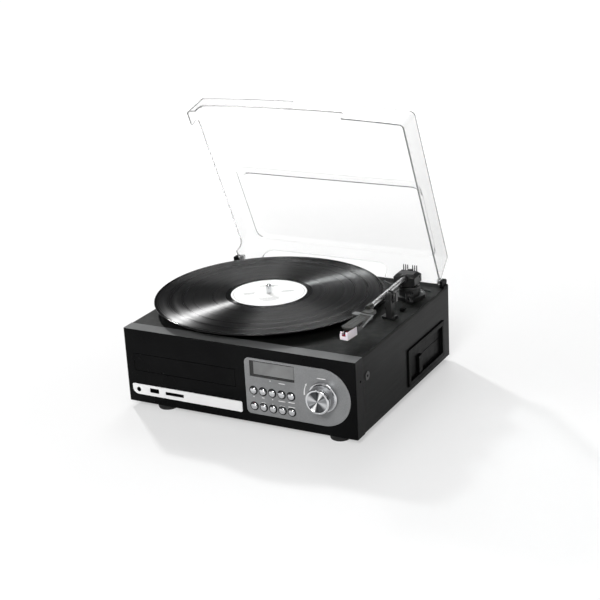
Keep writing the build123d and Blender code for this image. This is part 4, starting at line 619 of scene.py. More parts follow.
def display_glass(colour):
    """The grey liquid crystal behind a glossy pane, with the fine grid of its cells."""
    material, tree, shader, place = start("display_pane", Specular_IOR_Level=0.5, Coat_Weight=0.4)
    across = add(tree, "TexWave", {"Vector": place, "Scale": 1 / (6 * MM)}, bands_direction="X")
    faint = add(tree, "Math", {0: across.outputs["Fac"], 1: 0.05}, operation="MULTIPLY").outputs[0]
    two_tones(tree, shader, (cloud(tree, place, 22 * MM, 0.0, 0.5), faint), colour, linear("#8b8c8c"))
    uneven_gloss(tree, shader, place, 6 * MM, 0.12, 0.2)
    relief(tree, shader, across.outputs["Fac"], 0.002 * MM)
    return material


def circuit_board():
    """Glass-fibre board under green solder resist, with the copper areas raised and paler under it."""
    material, tree, shader, place = start("circuit_board", Specular_IOR_Level=0.5)
    cells = add(tree, "TexVoronoi", {"Vector": place, "Scale": 1 / (7 * MM)}, distance="CHEBYCHEV")
    copper = add(tree, "MapRange", {
        "Value": cells.outputs["Distance"], "From Min": 0.3, "From Max": 0.34,
    }).outputs[0]
    two_tones(tree, shader, (copper,), linear("#0f4a26"), linear("#1c6b38"))
    uneven_gloss(tree, shader, place, 2 * MM, 0.3, 0.42)
    relief(tree, shader, copper, 0.035 * MM)
    return material


def felt():
    """Pressed wool felt: short fibres give a dull, soft surface."""
    material, tree, shader, place = start("pressed_felt", Specular_IOR_Level=0.1, Sheen_Weight=0.35)
    fibre = cloud(tree, place, 0.5 * MM, 0.0, 1.0, detail=6.0)
    two_tones(tree, shader, (fibre,), linear("#141414"), linear("#262626"))
    uneven_gloss(tree, shader, place, 5 * MM, 0.85, 1.0)
    relief(tree, shader, fibre, 0.25 * MM)
    return material


def printed_ink(name, colour, faded):
    """Pad-printed ink: flat and slightly raised, a little thin in places."""
    material, tree, shader, place = start(name, Specular_IOR_Level=0.3)
    thin = cloud(tree, place, 1.2 * MM, 0.0, 0.6)
    two_tones(tree, shader, (thin,), linear(colour), linear(faded))
    uneven_gloss(tree, shader, place, 2 * MM, 0.4, 0.55)
    relief(tree, shader, thin, 0.01 * MM)
    return material


# Plain moulded plastics: name, colour, colour on outer edges (wear and painted highlight), roughness, the
# grain's size and depth in millimetres, and how strongly the surface shines
PLASTICS = {
    # Textured ABS: near black, with hardly any shine
    "black": ("black_abs", "#050505", "#161717", 0.4, 0.6, 0.012, 0.05),
    # Nylon: a waxy black that catches the light
    "nylon": ("black_nylon", "#161616", "#3c3d3d", 0.33, 0.8, 0.01, 0.5),
    # Unpainted polystyrene inside the case: dark and matt
    "inner": ("inner_polystyrene", "#191919", "#2b2b2b", 0.55, 1.2, 0.02, 0.5),
    # ABS of the headshell: a warm black with a satin sheen
    "olive": ("headshell_abs", "#1b1c19", "#3a3b36", 0.35, 0.6, 0.01, 0.5),
    # The front moulding's ledge, left satin: its grey colour is painted sheen, the band of light on its
    # top beside the lacquer
    "ledge": ("ledge_painted_sheen", "#666767", "#767777", 0.55, 0.9, 0.01, 0.04),
    # Grey satin ABS
    "grey": ("grey_abs", "#6a6b6b", "#8a8b8b", 0.36, 0.6, 0.01, 0.5),
    # Polished ABS: small sharp highlights
    "gloss": ("cartridge_abs", "#0b0b0b", "#2c2c2c", 0.2, 1.0, 0.004, 0.5),
    # Moulded rubber: dull, with a fine tooth
    "rubber": ("foot_rubber", "#151515", "#2a2a2a", 0.6, 0.9, 0.03, 0.35),
    # White satin ABS
    "pale": ("pale_abs", "#f4f4f4", "#fafafa", 0.35, 0.6, 0.008, 0.5),
    # Acetal: a deep, slightly glossy red
    "red": ("stylus_acetal", "#8c1024", "#b03040", 0.25, 0.8, 0.006, 0.5),
    # Soft PVC rings that tell the sockets apart
    "ring_red": ("red_pvc", "#9c1518", "#b8383a", 0.35, 0.6, 0.006, 0.5),
    "ring_white": ("white_pvc", "#d8d8d4", "#eeeeea", 0.35, 0.6, 0.006, 0.5),
}


def all_materials(colours):
    """Every finish by name."""
    disc_low, disc_high = span("record")
    centre = (disc_low + disc_high) / 2
    radius = (disc_high[0] - disc_low[0]) / 2
    label_low, label_high = span("record_label")
    label_radius = (label_high[0] - label_low[0]) / 2
    knob_low, knob_high = span("volume_knob")
    finishes = {
        key: moulded_plastic(name, linear(colour), linear(worn_and_lit_edge_colour), *numbers)
        for key, (name, colour, worn_and_lit_edge_colour, *numbers) in PLASTICS.items()
    }
    finishes.update({
        "lacquer": lacquer(opaque(colours.lacquer)),
        "deck": moulded_plastic(
            "textured_deck", opaque(colours.deck), linear("#1c1d1c"), 0.5, 0.9, 0.02, 0.07),
        "board": wrapped_board(opaque(colours.side)),
        "guard": moulded_plastic(
            "guard_polythene", opaque(colours.guard), linear("#f2ecf0"), 0.38, 2.5, 0.02, 0.5,
            Subsurface_Weight=0.15, Subsurface_Scale=0.004),
        "vinyl": pressed_vinyl(centre, radius, label_radius),
        "paper": label_paper(centre, opaque(colours.label)),
        "felt": felt(),
        "chrome": chrome_plate(),
        "spun": spun_chrome_painted_reflections((knob_low + knob_high) / 2),
        "tube": drawn_metal("drawn_aluminium", "#f2f2f3", 0.26, (1.0, 0.05, 1.0)),
        "steel": drawn_metal("zinc_plated_steel", "#a9abad", 0.34, (1.0, 1.0, 0.3)),
        "silver": silver_paint(opaque(colours.silver)),
        "clear": clear_styrene(opaque(colours.cover)),
        "display": display_glass(opaque(colours.display)),
        "circuit": circuit_board(),
        "ink": printed_ink("white_ink", "#f2f2f2", "#d6d6d6"),
        "red_ink": printed_ink("red_ink", "#a8323c", "#8c3a40"),
        "print": printed_ink("grey_ink", "#5d5d5d", "#8a8a8a"),
    })
    return finishes


MATERIALS = {}

# Which finish each CAD piece gets, and how far its inner and outer edges are rounded, in millimetres
EASED_NODES = {
    "cabinet_shell": ("board", 0.3, 0.3),
    "front_panel": ("lacquer", 0.25, 0.25),
    "deck_plate": ("deck", 0.25, 0.4),
    "control_panel": ("silver", 0.25, 0.3),
    "cd_tray": ("lacquer", 0.2, 0.4),
    "cassette_bezel": ("black", 0.3, 0.5),
    "cassette_flap": ("black", 0.3, 0.4),
    "eject_key": ("black", 0.4, 0.5),
    "hinge_brackets": ("black", 0.3, 0.5),
    "arm_base": ("nylon", 0.3, 0.4),
    "arm_turret": ("nylon", 0.25, 0.3),
    "arm_hub": ("nylon", 0.3, 0.6),
    "headshell": ("olive", 0.2, 0.4),
    "cartridge": ("gloss", 0.25, 0.4),
    "stylus": ("red", 0.1, 0.15),
    "stylus_guard": ("guard", 0.2, 0.3),
    "arm_rest": ("nylon", 0.3, 0.4),
    "rest_clip": ("nylon", 0.25, 0.3),
    "speed_switch": ("black", 0.25, 0.4),
    "stop_switch": ("black", 0.25, 0.4),
    "finger_lift": ("grey", 0.12, 0.15),
    "rear_plate": ("black", 0.25, 0.4),
}
PLAIN_NODES = {
    "bottom_plate": "black", "port_strip": "pale", "base_screws": "steel", "platter": "inner",
    "slip_mat": "felt", "spindle": "chrome", "drive_belt": "rubber", "platter_motor": "steel",
    "motor_pulley": "inner", "cue_lever": "nylon", "cue_platform": "nylon", "arm_pin": "steel",
    "arm_tube": "tube", "cover": "clear", "control_board": "circuit", "cd_mechanism": "inner",
    "front_sockets": "black", "cassette_mechanism": "inner", "headphone_jack": "nylon",
    "speaker_jacks": "chrome", "line_jacks": "chrome", "power_inlet": "black", "main_board": "circuit",
}


def weigh_edges(shape, low, high, share):
    """Marks the sharp edges for the bevel: those along the edges of the piece's box in full, and the
    finer ones inside it with the given share."""
    near = 0.05 * MM
    weight = shape.edges.layers.float.new("bevel_weight_edge")
    for edge in shape.edges:
        if edge.calc_face_angle(0.0) > SHARP_ANGLE:
            ends = np.array([vertex.co for vertex in edge.verts])
            on_low = (np.abs(ends - low) < near).all(axis=0)
            on_high = (np.abs(ends - high) < near).all(axis=0)
            edge[weight] = 1.0 if (on_low | on_high).sum() > 1 else share


def eased_copy(node, finish, width, outer):
    """A copy of a CAD node with soft edges: its triangles are joined and its flat faces merged first,
    then a bevel rounds its edges, the outer ones by their own width."""
    mesh = frame["nodes"][node].data.copy()
    mesh.name = node + "_eased"
    shape = bmesh.new()
    shape.from_mesh(mesh)
    bmesh.ops.remove_doubles(shape, verts=shape.verts, dist=JOIN)
    bmesh.ops.dissolve_limit(
        shape, angle_limit=math.radians(0.5), verts=shape.verts, edges=shape.edges, delimit=set())
    weigh_edges(shape, *span(node), width / outer)
    shape.to_mesh(mesh)
    shape.free()
    own_normals = mesh.attributes.get("custom_normal")
    if own_normals is not None:
        mesh.attributes.remove(own_normals)
    mesh.materials.clear()
    mesh.materials.append(MATERIALS[finish])
    mesh.polygons.foreach_set("use_smooth", np.ones(len(mesh.polygons), bool))
    mesh.set_sharp_from_angle(angle=SHARP_ANGLE)
    # The front moulding's top faces take the ledge's grey, a painted sheen
    if node == "front_panel":
        ledge_faces(mesh)
    piece = bpy.data.objects.new(node + "_eased", mesh)
    bpy.context.scene.collection.objects.link(piece)
    bevel = piece.modifiers.new("eased_edges", "BEVEL")
    bevel.width = outer * MM
    bevel.segments = 3
    bevel.limit_method = "WEIGHT"
    bevel.use_clamp_overlap = False
    even = piece.modifiers.new("flat_faces", "WEIGHTED_NORMAL")
    even.weight = 100
    even.keep_sharp = True
    dress(piece, body_of(node), slot_of(node), node)


def ledge_faces(mesh):
    """Gives the front moulding's upward faces near its top the satin finish of its ledge, whose grey
    colour is painted sheen from the light that falls on these top faces.
    """
    mesh.materials.append(MATERIALS["ledge"])
    count = len(mesh.polygons)
    normals = np.zeros(count * 3)
    centres = np.zeros(count * 3)
    mesh.polygons.foreach_get("normal", normals)
    mesh.polygons.foreach_get("center", centres)
    heights = centres[2::3]
    upward = (normals[2::3] > 0.9) & (heights > heights.max() - 12 * MM)
    mesh.polygons.foreach_set("material_index", upward.astype(np.int32))


# Record and label
def record_disc(sizes):
    """The record turned from its profile: a raised bead at the rim, the grooved band that sinks
    between bead and label, and the flat under the label."""
    centre, radius, thick = round_node("record", 2, 0)
    label_foot, inner, _ = round_node("record_label", 2, 0)
    seat = (label_foot[2] - centre[2]) / MM
    hole = sizes.hole / MM
    dip = thick - sizes.groove_dip / MM
    band = np.linspace(radius - 3.6, inner + 7, 44)
    gaps = np.abs((band - inner) / (radius - inner) * sizes.tracks % 1 - 0.5) > 0.46
    grooves = np.stack([band, dip - 0.03 * gaps], axis=1)
    rim = eased([
        (hole, 0), (radius - 0.5, 0), (radius, 0.4), (radius, thick - 0.5),
        (radius - 0.8, thick), (radius - 2.2, thick), (radius - 3.3, dip),
    ], 0.35)
    middle = np.array([
        (inner + 4, dip), (inner + 3.6, dip - 0.08), (inner + 3.2, dip), (inner + 0.6, dip),
        (inner + 0.2, seat), (hole, seat), (hole, 0),
    ])
    profile = np.vstack([rim, grooves, middle])
    stand_in("record", "record_disc", turned(profile, centre, UP, 256), "vinyl")


def record_paper(sizes):
    """The label turned from its profile, with the stamper's ring and a soft edge."""
    centre, radius, thick = round_node("record_label", 2, 0)
    hole = sizes.hole / MM
    profile = eased([
        (hole, 0), (radius, 0), (radius, thick * 0.6), (radius - 0.8, thick), (36.5, thick),
        (36, thick * 0.55), (35.2, thick * 0.55), (34.7, thick), (17.4, thick), (16.9, thick * 0.6),
        (16.4, thick), (hole + 0.4, thick), (hole, thick * 0.6), (hole, 0),
    ], 0.2)
    stand_in("record_label", "label_paper", turned(profile, centre, UP, 160), "paper", crease=60)


def label_lines(sizes):
    """Short printed lines on the label, where a real one is set with text: plain bars, no letters."""
    top = round_node("record_label", 2, 1)[0] - np.array([0, 0, 0.02 * MM])
    bars = [
        (0, 27, 13, 1.1), (0, 22.5, 8, 0.6), (-26, 3, 9, 0.6), (-26, 0, 7, 0.6), (-26, -3, 8, 0.6),
        (25, 3, 8, 0.6), (25, 0, 9, 0.6), (0, -20, 16, 0.6), (0, -23.5, 13, 0.6), (0, -27, 15, 0.6),
        (0, -30.5, 9, 0.6),
    ]
    turn = math.radians(sizes.label_turn)
    sheets = [placed(plaque(half, half_height, 0.05), x, y, turn) for x, y, half, half_height in bars]
    addition("label_print", np.array(sheets) * MM + top, "print", body_of("record_label"), "record_label")


# Control panel
def volume_knob(sizes):
    """The knob turned from its profile: a skirt, a tapered body with two fine rings, a rounded rim,
    a shallow cone inside it and a shaft. The pointer is a notch in the rim at the top."""
    centre, skirt, length = round_node("volume_knob", 1, 0)
    panel_front = span("control_panel")[0][1]
    rise = (panel_front - centre[1]) / MM
    shaft = rise - length
    centre[1] = panel_front
    body = skirt - 1.8
    face = skirt - 3
    cone = sizes.knob_cone / MM
    outline = [
        (0, rise - 0.9), (cone * 0.5, rise - 0.75), (cone - 0.3, rise - 0.6), (cone, rise - 0.1),
        (cone + 0.4, rise), (face - 0.8, rise), (face, rise - 0.9), (face + 0.3, rise - 3.2),
        (face + 0.05, rise - 3.6), (face + 0.35, rise - 4), (body - 0.2, 5.4), (body - 0.55, 5),
        (body - 0.1, 4.6), (body, 3.8), (skirt - 0.5, 3.6), (skirt, 3.1), (skirt, 0.8),
        (skirt - 0.4, 0.6), (3, 0.6), (3, shaft), (0, shaft),
    ]
    profile = eased(outline, 0.3, 3)
    columns = 192
    angles = np.linspace(0, 2 * np.pi, columns, endpoint=False)
    across = np.cos(angles)[None, :] * profile[:, :1]
    above = np.sin(angles)[None, :] > 0.5
    on_rim = (profile[:, :1] > cone - 0.6) & (profile[:, 1:] > rise - 1.2)
    notch = 0.9 * np.exp(-(across / 0.55) ** 4) * above * on_rim
    on_cone = (profile[:-1, 0] < cone) & (profile[:-1, 1] > rise - 2)
    index = np.repeat(on_cone[:, None], columns, axis=1)
    sheets = turned(profile, centre, FRONT, columns, notch)
    stand_in("volume_knob", "knob_turned", sheets, "chrome", "spun", index=index)


def button_names():
    """The CAD nodes of the ten buttons."""
    return [name for name in sorted(frame["nodes"]) if name.startswith("button_")]


def button_cap(node):
    """One button turned from its profile: a domed top, a rounded rim, the stem and its flange."""
    centre, flange, length = round_node(node, 1, 1)
    cap = flange - 1.5
    profile = eased([
        (0, length), (cap * 0.4, length - 0.15), (cap * 0.75, length - 0.55), (cap - 0.3, length - 1.1),
        (cap, length - 1.8), (cap, 1), (flange, 1), (flange, 0), (0, 0),
    ], 0.25, 3)
    stand_in(node, node + "_cap", turned(profile, centre, FRONT, 48), "chrome")


def button_collars():
    """Ten dark rings in the silver panel, one round each button, turned from a rounded section."""
    centres = np.array([round_node(node, 1, 1)[0] for node in button_names()])
    centres[:, 1] = span("control_panel")[0][1]
    section = [(4.85, -0.5), (4.85, 0.15), (5.2, 0.45), (5.7, 0.3), (5.9, -0.1), (4.85, -0.5)]
    sheets = turned(eased(section, 0.12, 3), centres, FRONT, 40)
    addition("button_collars", sheets, "black", "cabinet", "front_panel")


def on_panel(shapes):
    """Turns flat shapes, with their height as the third number, to stand out from the silver panel.

    Each shape's place is in millimetres from the first button of the lower row, to the right and up.
    """
    origin = round_node("button_06", 1, 0)[0]
    origin[1] = span("control_panel")[0][1]
    sheets = []
    for (x, z), shape in shapes:
        raised = np.stack([shape[..., 0] + x, 0.01 - shape[..., 2], shape[..., 1] + z], axis=-1)
        sheets.append(raised * MM + origin)
    return np.array(sheets)


def panel_marks():
    """Plain printed dots and bars beside the buttons and over the knob, and one red dot."""
    second, third, fourth = BUTTON_PITCH, 3 * BUTTON_PITCH, 4 * BUTTON_PITCH
    dots = [(24.2, 36.8), (0, 12.5), (2 * second, 12.5), (2 * second, 6.1)]
    bars = [
        (40.3, 35.5, 4.6), (second, 12.6, 1.8), (third, 12.1, 4.9), (fourth, 12.5, 4.7),
        (second, 6, 2.7), (third, 5.7, 3.3), (fourth, 6.4, 4.8), (94.7, 50.6, 6),
    ]
    dot = plaque(0.8, 0.8, 0.06, power=2)
    shapes = [(place, dot) for place in dots]
    shapes += [((x, z), plaque(half, 0.5, 0.06)) for x, z, half in bars]
    addition("panel_marks", on_panel(shapes), "ink", "cabinet", "port_strip")
    addition("panel_mark_red", on_panel([((0, 4.7), dot)]), "red_ink", "cabinet", "stylus")


def volume_arc(sizes):
    """The printed arc left of the knob: it narrows upwards and ends in a pointed head.

    Along the arc the half width falls from one end to the other, jumps out at the head and runs to
    nothing.
    """
    centre = round_node("volume_knob", 1, 0)[0]
    face = span("control_panel")[0][1]
    share = np.concatenate([[0, 0], np.linspace(0, 0.8, 20), np.linspace(0.8, 1, 8)])
    half = np.concatenate([[0, 0.9], np.linspace(0.9, 0.45, 20), np.linspace(1.3, 0, 8)])
    angle = np.radians(184 - 36 * share)
    rim = np.array([(-1, 0), (-1, 1), (0, 1.2), (1, 1), (1, 0), (0, 0)])
    radius = sizes.arc_radius + half[:, None] * MM * rim[None, :, 0]
    depth = 0.05 * MM * rim[None, :, 1] * np.ones((len(share), 1))
    sheet = np.stack([
        centre[0] + radius * np.cos(angle)[:, None],
        face + 0.01 * MM - depth,
        centre[2] + radius * np.sin(angle)[:, None],
    ], axis=-1)
    addition("volume_arc", sheet[None], "ink", "cabinet", "port_strip")


def display_pane(sizes):
    """The display as one height grid: a dark surround, wider on the left and below, steps down
    smoothly to the grey crystal. Depth = step * smooth(distance inside the crystal's edge)."""
    low, high = span("display_window")
    x = np.linspace(low[0], high[0], 90)
    z = np.linspace(low[2], high[2], 44)
    inside_x = np.minimum(x - low[0] - sizes.display_left, high[0] - sizes.display_rim - x)
    inside_z = np.minimum(z - low[2] - sizes.display_below, high[2] - sizes.display_rim - z)
    inside = np.minimum(inside_x[None, :], inside_z[:, None])
    share = np.clip(inside / (0.8 * MM) + 0.5, 0, 1)
    depth = 0.45 * MM * share ** 2 * (3 - 2 * share)
    grid_x, grid_z = np.meshgrid(x, z)
    face = np.stack([grid_x, low[1] + depth, grid_z], axis=-1)
    back = face[::-1].copy()
    back[..., 1] = high[1]
    sheet = np.concatenate([face, back, face[:1]])
    rows, columns = sheet.shape[:2]
    index = np.zeros((rows - 1, columns - 1), int)
    index[:len(z) - 1] = (inside[:-1, :-1] + inside[1:, 1:]) / 2 > 0
    stand_in("display_window", "display_pane", sheet[None], "gloss", "display", wrap=False, index=index)


# Sockets, feet and fasteners
def round_feet():
    """Four rubber feet turned from one profile: a grooved flank and a ring underneath."""
    low, high = span("feet")
    tall = (high[2] - low[2]) / MM
    wide = FOOT_RADIUS
    profile = eased([
        (0, 1.2), (4, 1.2), (4.6, 0.5), (8.5, 0.5), (9, 0), (wide - 2.2, 0), (wide - 1.2, 0.9),
        (wide - 0.9, 2.6), (wide - 1.3, 3), (wide - 0.7, 3.4), (wide - 0.1, tall - 0.6), (wide, tall),
        (0, tall),
    ], 0.4)
    centres = corners_in("feet", wide * MM, 2, low[2])
    stand_in("feet", "rubber_feet", turned(profile, centres, UP, 64), "rubber")


def screw_heads():
    """Four pan-head screws in the back plate, each turned with a cross recess.

    The recess is taken from the dome where the smaller of the two coordinates is within half a blade.
    """
    profile = np.array([
        (0, 1.5), (0.6, 1.49), (1.2, 1.45), (1.8, 1.3), (2.4, 1.0), (2.8, 0.5), (2.9, 0), (0, 0),
    ])
    columns = 48
    angles = np.linspace(0, 2 * np.pi, columns, endpoint=False)
    near = np.minimum(np.abs(np.cos(angles)), np.abs(np.sin(angles)))[None, :] * profile[:, :1]
    notch = 0.8 * (near < 0.35) * (profile[:, :1] < 1.9) * (profile[:, 1:] > 0.5)
    centres = corners_in("rear_plate", SCREW_INSET, 1, span("rear_plate")[1][1])
    sheets = turned(profile, centres, BACK, columns, notch)
    addition("plate_screws", sheets, "steel", "cabinet", "base_screws")


def jack_rings():
    """Coloured rings round the back sockets: red ones under white ones, turned from one section."""
    section = [(4.3, -0.3), (4.3, 1.2), (5.4, 1.2), (5.9, 0.2), (5.9, -0.3), (4.3, -0.3)]
    plate = span("rear_plate")[1][1]
    centres = np.concatenate([
        corners_in(node, SOCKET_INSET, 1, plate) for node in ("speaker_jacks", "line_jacks")
    ])
    for name, finish, row, like in (
        ("jack_rings_red", "ring_red", slice(0, None, 2), "stylus"),
        ("jack_rings_white", "ring_white", slice(1, None, 2), "port_strip"),
    ):
        sheets = turned(eased(section, 0.3, 3), centres[row], BACK, 40)
        addition(name, sheets, finish, "cabinet", like)


# Tonearm
def arm_leads(sizes):
    """The fine leads behind the arm's block: each bows up from its rear face and down to the base.

    With t from nought to one along a lead, its depth grows with t and its height is a sine of t less
    a share of t cubed.
    """
    low, high = span("arm_hub")
    middle = (low[0] + high[0]) / 2
    foot = high[2] - 5 * MM
    t = np.linspace(0, 1, 14)
    height = foot + (5 * MM + sizes.lead_rise) * np.sin(np.pi * (0.08 + 0.72 * t)) - 6 * MM * t ** 3
    depth = high[1] - 3.5 * MM + LEAD_REACH * t
    tubes = [
        swept(np.stack([place * MM + middle - LEAD_LEAN * t, depth, height], axis=1), LEAD_RADIUS, 8)
        for place in LEAD_PLACES
    ]
    piece = grid_piece("arm_leads", np.array(tubes), [MATERIALS["rubber"]])
    dress(piece, body_of("arm_hub"), slot_of("drive_belt"))
    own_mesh(piece)


def headshell_ribs():
    """Three long ribs on top of the headshell, as raised oblongs in its own direction."""
    low, high = span("stylus_guard")
    x, y = HEAD_OFFSET
    c, s = math.cos(HEAD_TURN), math.sin(HEAD_TURN)
    centre = (low + high) / 2 + np.array([x * c - y * s, x * s + y * c, 0])
    centre[2] = span("cartridge")[1][2] + HEAD_THICKNESS
    sheets = [placed(plaque(0.7, 18, 0.35), place, -5, HEAD_TURN) for place in RIB_PLACES]
    addition("headshell_ribs", np.array(sheets) * MM + centre, "olive", body_of("headshell"), "headshell")


# Stage
def background_seen(tree):
    """One for rays straight from the eye or only through clear plastic, nought for any that bounced."""
    path = add(tree, "LightPath").outputs
    bounces = add(tree, "Math", {0: path["Glossy Depth"], 1: path["Diffuse Depth"]}, operation="ADD")
    direct = add(tree, "Math", {0: bounces.outputs[0], 1: 0.5}, operation="LESS_THAN").outputs[0]
    through = add(tree, "Math", {
        0: path["Is Camera Ray"], 1: path["Is Transmission Ray"],
    }, operation="MAXIMUM").outputs[0]
    return add(tree, "Math", {0: through, 1: direct}, operation="MULTIPLY").outputs[0]


def floor_paint():
    """Pale matt floor paint. The eye sees it lifted to white, more so far from the player, and a soft
    shadow stays. Light bounces from it as from plain pale paint, and metal sees it a little lifted."""
    material, tree, shader, place = start("pale_floor", Specular_IOR_Level=0.0, Roughness=0.9)
    seen = background_seen(tree)
    shade = add(tree, "MapRange", {"Value": seen, "To Min": FLOOR_SHADE, "To Max": FLOOR_SEEN}).outputs[0]
    tone = cloud(tree, place, 300 * MM, 0.98, 1.0)
    paint = add(tree, "Math", {0: shade, 1: tone}, operation="MULTIPLY").outputs[0]
    grey = add(tree, "CombineColor", {"Red": paint, "Green": paint, "Blue": paint})
    tree.links.new(grey.outputs[0], shader.inputs["Base Color"])
    away = add(tree, "VectorMath", {0: place}, operation="LENGTH").outputs["Value"]
    level = add(tree, "MapRange", {
        "Value": away, "From Min": FLOOR_LIFT_REACH[0], "From Max": FLOOR_LIFT_REACH[1],
        "To Min": FLOOR_LIFT[0], "To Max": FLOOR_LIFT[1],
    }).outputs[0]
    bright = add(tree, "Math", {0: seen, 1: level}, operation="MULTIPLY").outputs[0]
    glossy = add(tree, "LightPath").outputs["Is Glossy Ray"]
    metal = add(tree, "Math", {0: glossy, 1: METAL_LIFT}, operation="MULTIPLY").outputs[0]
    lift = add(tree, "Math", {0: bright, 1: metal}, operation="MAXIMUM").outputs[0]
    shader.inputs["Emission Color"].default_value = linear("#ffffff")
    tree.links.new(lift, shader.inputs["Emission Strength"])
    return material


def make_floor():
    """A wide floor under the feet, as a flat grid."""
    reach = np.linspace(-9, 9, 7)
    x, y = np.meshgrid(reach, reach)
    top = np.stack([x, y, np.zeros_like(x)], axis=-1)
    grid_piece("studio_floor", top[None, ::-1], [floor_paint()], wrap=False)


def make_world():
    """A soft studio. Eyes and clear plastic see a white backdrop everywhere. Everything else sees it
    white near the horizon and dimmer overhead, by the direction's height."""
    world = bpy.data.worlds.new("soft_studio")
    bpy.context.scene.world = world
    world.use_nodes = True
    tree = world.node_tree
    way = add(tree, "TexCoord").outputs["Generated"]
    height = add(tree, "SeparateXYZ", {0: way}).outputs["Z"]
    fall = add(tree, "MapRange", {
        "Value": height, "From Min": 0.0, "From Max": HORIZON_HEIGHT, "To Min": 1.0, "To Max": SKY_LEVEL,
    }, interpolation_type="SMOOTHSTEP").outputs[0]
    level = add(tree, "Math", {0: fall, 1: background_seen(tree)}, operation="MAXIMUM").outputs[0]
    background = tree.nodes["Background"]
    tree.links.new(level, background.inputs["Strength"])
    background.inputs["Color"].default_value = linear("#ffffff")


def make_lamp(name, direction, distance, size, share):
    """A square area lamp that aims at the player. Share is how bright it makes a white floor there:
    power = share * pi squared * distance squared / the sine of its height."""
    way = Vector(direction).normalized()
    lamp = bpy.data.lights.new(name, "AREA")
    lamp.shape = "SQUARE"
    lamp.size = size
    lamp.energy = share * math.pi ** 2 * distance ** 2 / way.z
    piece = bpy.data.objects.new(name, lamp)
    piece.location = way * distance + Vector((0, 0, 0.08))
    piece.rotation_mode = "QUATERNION"
    piece.rotation_quaternion = way.to_track_quat("Z", "Y")
    bpy.context.scene.collection.objects.link(piece)


def make_camera():
    """The camera at the photograph's angle, from its azimuth, elevation, distance and roll."""
    azimuth = math.radians(VIEW_AZIMUTH)
    elevation = math.radians(VIEW_ELEVATION)
    roll = math.radians(VIEW_ROLL)
    flat = math.cos(elevation)
    back = Vector((math.sin(azimuth) * flat, -math.cos(azimuth) * flat, math.sin(elevation)))
    side = Vector(UP).cross(back).normalized()
    up = back.cross(side)
    level = side * math.cos(roll) + up * math.sin(roll)
    upright = up * math.cos(roll) - side * math.sin(roll)
    lens = bpy.data.cameras.new("photo_camera")
    lens.lens = VIEW_LENS
    lens.sensor_width = 36
    lens.clip_end = 30
    camera = bpy.data.objects.new("photo_camera", lens)
    turn = Matrix((level, upright, back)).transposed()
    camera.rotation_mode = "QUATERNION"
    camera.rotation_quaternion = turn.to_quaternion()
    camera.location = Vector(VIEW_TARGET) + back * VIEW_DISTANCE
    bpy.context.scene.collection.objects.link(camera)
    bpy.context.scene.camera = camera


# Settings that a user would change
def size_setting(name, description, millimetres):
    """A length property, with its default in millimetres."""
    return bpy.props.FloatProperty(
        name=name, description=description, default=millimetres * MM, unit="LENGTH", precision=5)


def colour_setting(name, description, colour):
    """A colour property, with its default as an sRGB hex colour."""
    return bpy.props.FloatVectorProperty(
        name=name, description=description, default=linear(colour)[:3], subtype="COLOR")


class PlayerSizes(bpy.types.PropertyGroup):
    """Sizes of the pieces that are made here."""

    hole: size_setting("Record hole", "Radius of the hole in the record", 3.65)
    groove_dip: size_setting("Groove dip", "How far the grooved band lies under the bead", 0.3)
    tracks: bpy.props.FloatProperty(
        name="Tracks", description="How many tracks the record's side has", default=6)
    label_turn: bpy.props.FloatProperty(
        name="Label turn", description="How far the label's print is turned, in degrees", default=30)
    knob_cone: size_setting("Knob cone", "Radius of the shallow cone in the knob's face", 13.2)
    arc_radius: size_setting("Arc radius", "Radius of the printed arc beside the knob", 26.3)
    display_left: size_setting("Display left", "Width of the dark surround on the display's left", 4.6)
    display_below: size_setting("Display below", "Height of the dark surround under the display", 2.8)
    display_rim: size_setting("Display rim", "Width of the surround on the other two sides", 1.0)
    lead_rise: size_setting("Lead rise", "How far the arm's leads bow over its block", 5)


class PlayerColours(bpy.types.PropertyGroup):
    """Colours of the main finishes."""

    lacquer: colour_setting("Front", "Lacquer of the front", "#040405")
    deck: colour_setting("Deck", "Textured deck", "#121312")
    side: colour_setting("Sides", "Foil on the sides and the back", "#060707")
    silver: colour_setting("Panel", "Silver paint of the panel", "#7f8081")
    display: colour_setting("Display", "Liquid crystal of the display", "#626363")
    label: colour_setting("Label", "Paper of the label", "#f4f4f3")
    guard: colour_setting("Guard", "Guard over the stylus", "#f4e8f0")
    cover: colour_setting("Cover", "Clear plastic of the cover", "#fafafa")


# Operators
class PLAYER_OT_finishes(bpy.types.Operator):
    """Makes every finish and gives each CAD piece that stays its own."""

    bl_idname = "player.finishes"
    bl_label = "Finishes"

    def execute(self, context):
        MATERIALS.update(all_materials(context.scene.player_colours))
        for node, finish in PLAIN_NODES.items():
            mesh = frame["nodes"][node].data
            mesh.materials.clear()
            mesh.materials.append(MATERIALS[finish])
        return {"FINISHED"}


class PLAYER_OT_mouldings(bpy.types.Operator):
    """Rounds the edges of the mouldings and of the tonearm's pieces."""

    bl_idname = "player.mouldings"
    bl_label = "Mouldings"

    def execute(self, context):
        for node, (finish, width, outer) in EASED_NODES.items():
            eased_copy(node, finish, width, outer)
        return {"FINISHED"}


class PLAYER_OT_record(bpy.types.Operator):
    """Makes the record, its label and the print on it."""

    bl_idname = "player.record"
    bl_label = "Record"

    def execute(self, context):
        sizes = context.scene.player_sizes
        record_disc(sizes)
        record_paper(sizes)
        label_lines(sizes)
        return {"FINISHED"}


class PLAYER_OT_knob(bpy.types.Operator):
    """Makes the volume knob and the arc beside it."""

    bl_idname = "player.knob"
    bl_label = "Volume Knob"

    def execute(self, context):
        volume_knob(context.scene.player_sizes)
        volume_arc(context.scene.player_sizes)
        return {"FINISHED"}


class PLAYER_OT_buttons(bpy.types.Operator):
    """Makes the ten buttons, their dark rings and the marks beside them."""

    bl_idname = "player.buttons"
    bl_label = "Buttons"

    def execute(self, context):
        for node in button_names():
            button_cap(node)
        button_collars()
        panel_marks()
        return {"FINISHED"}


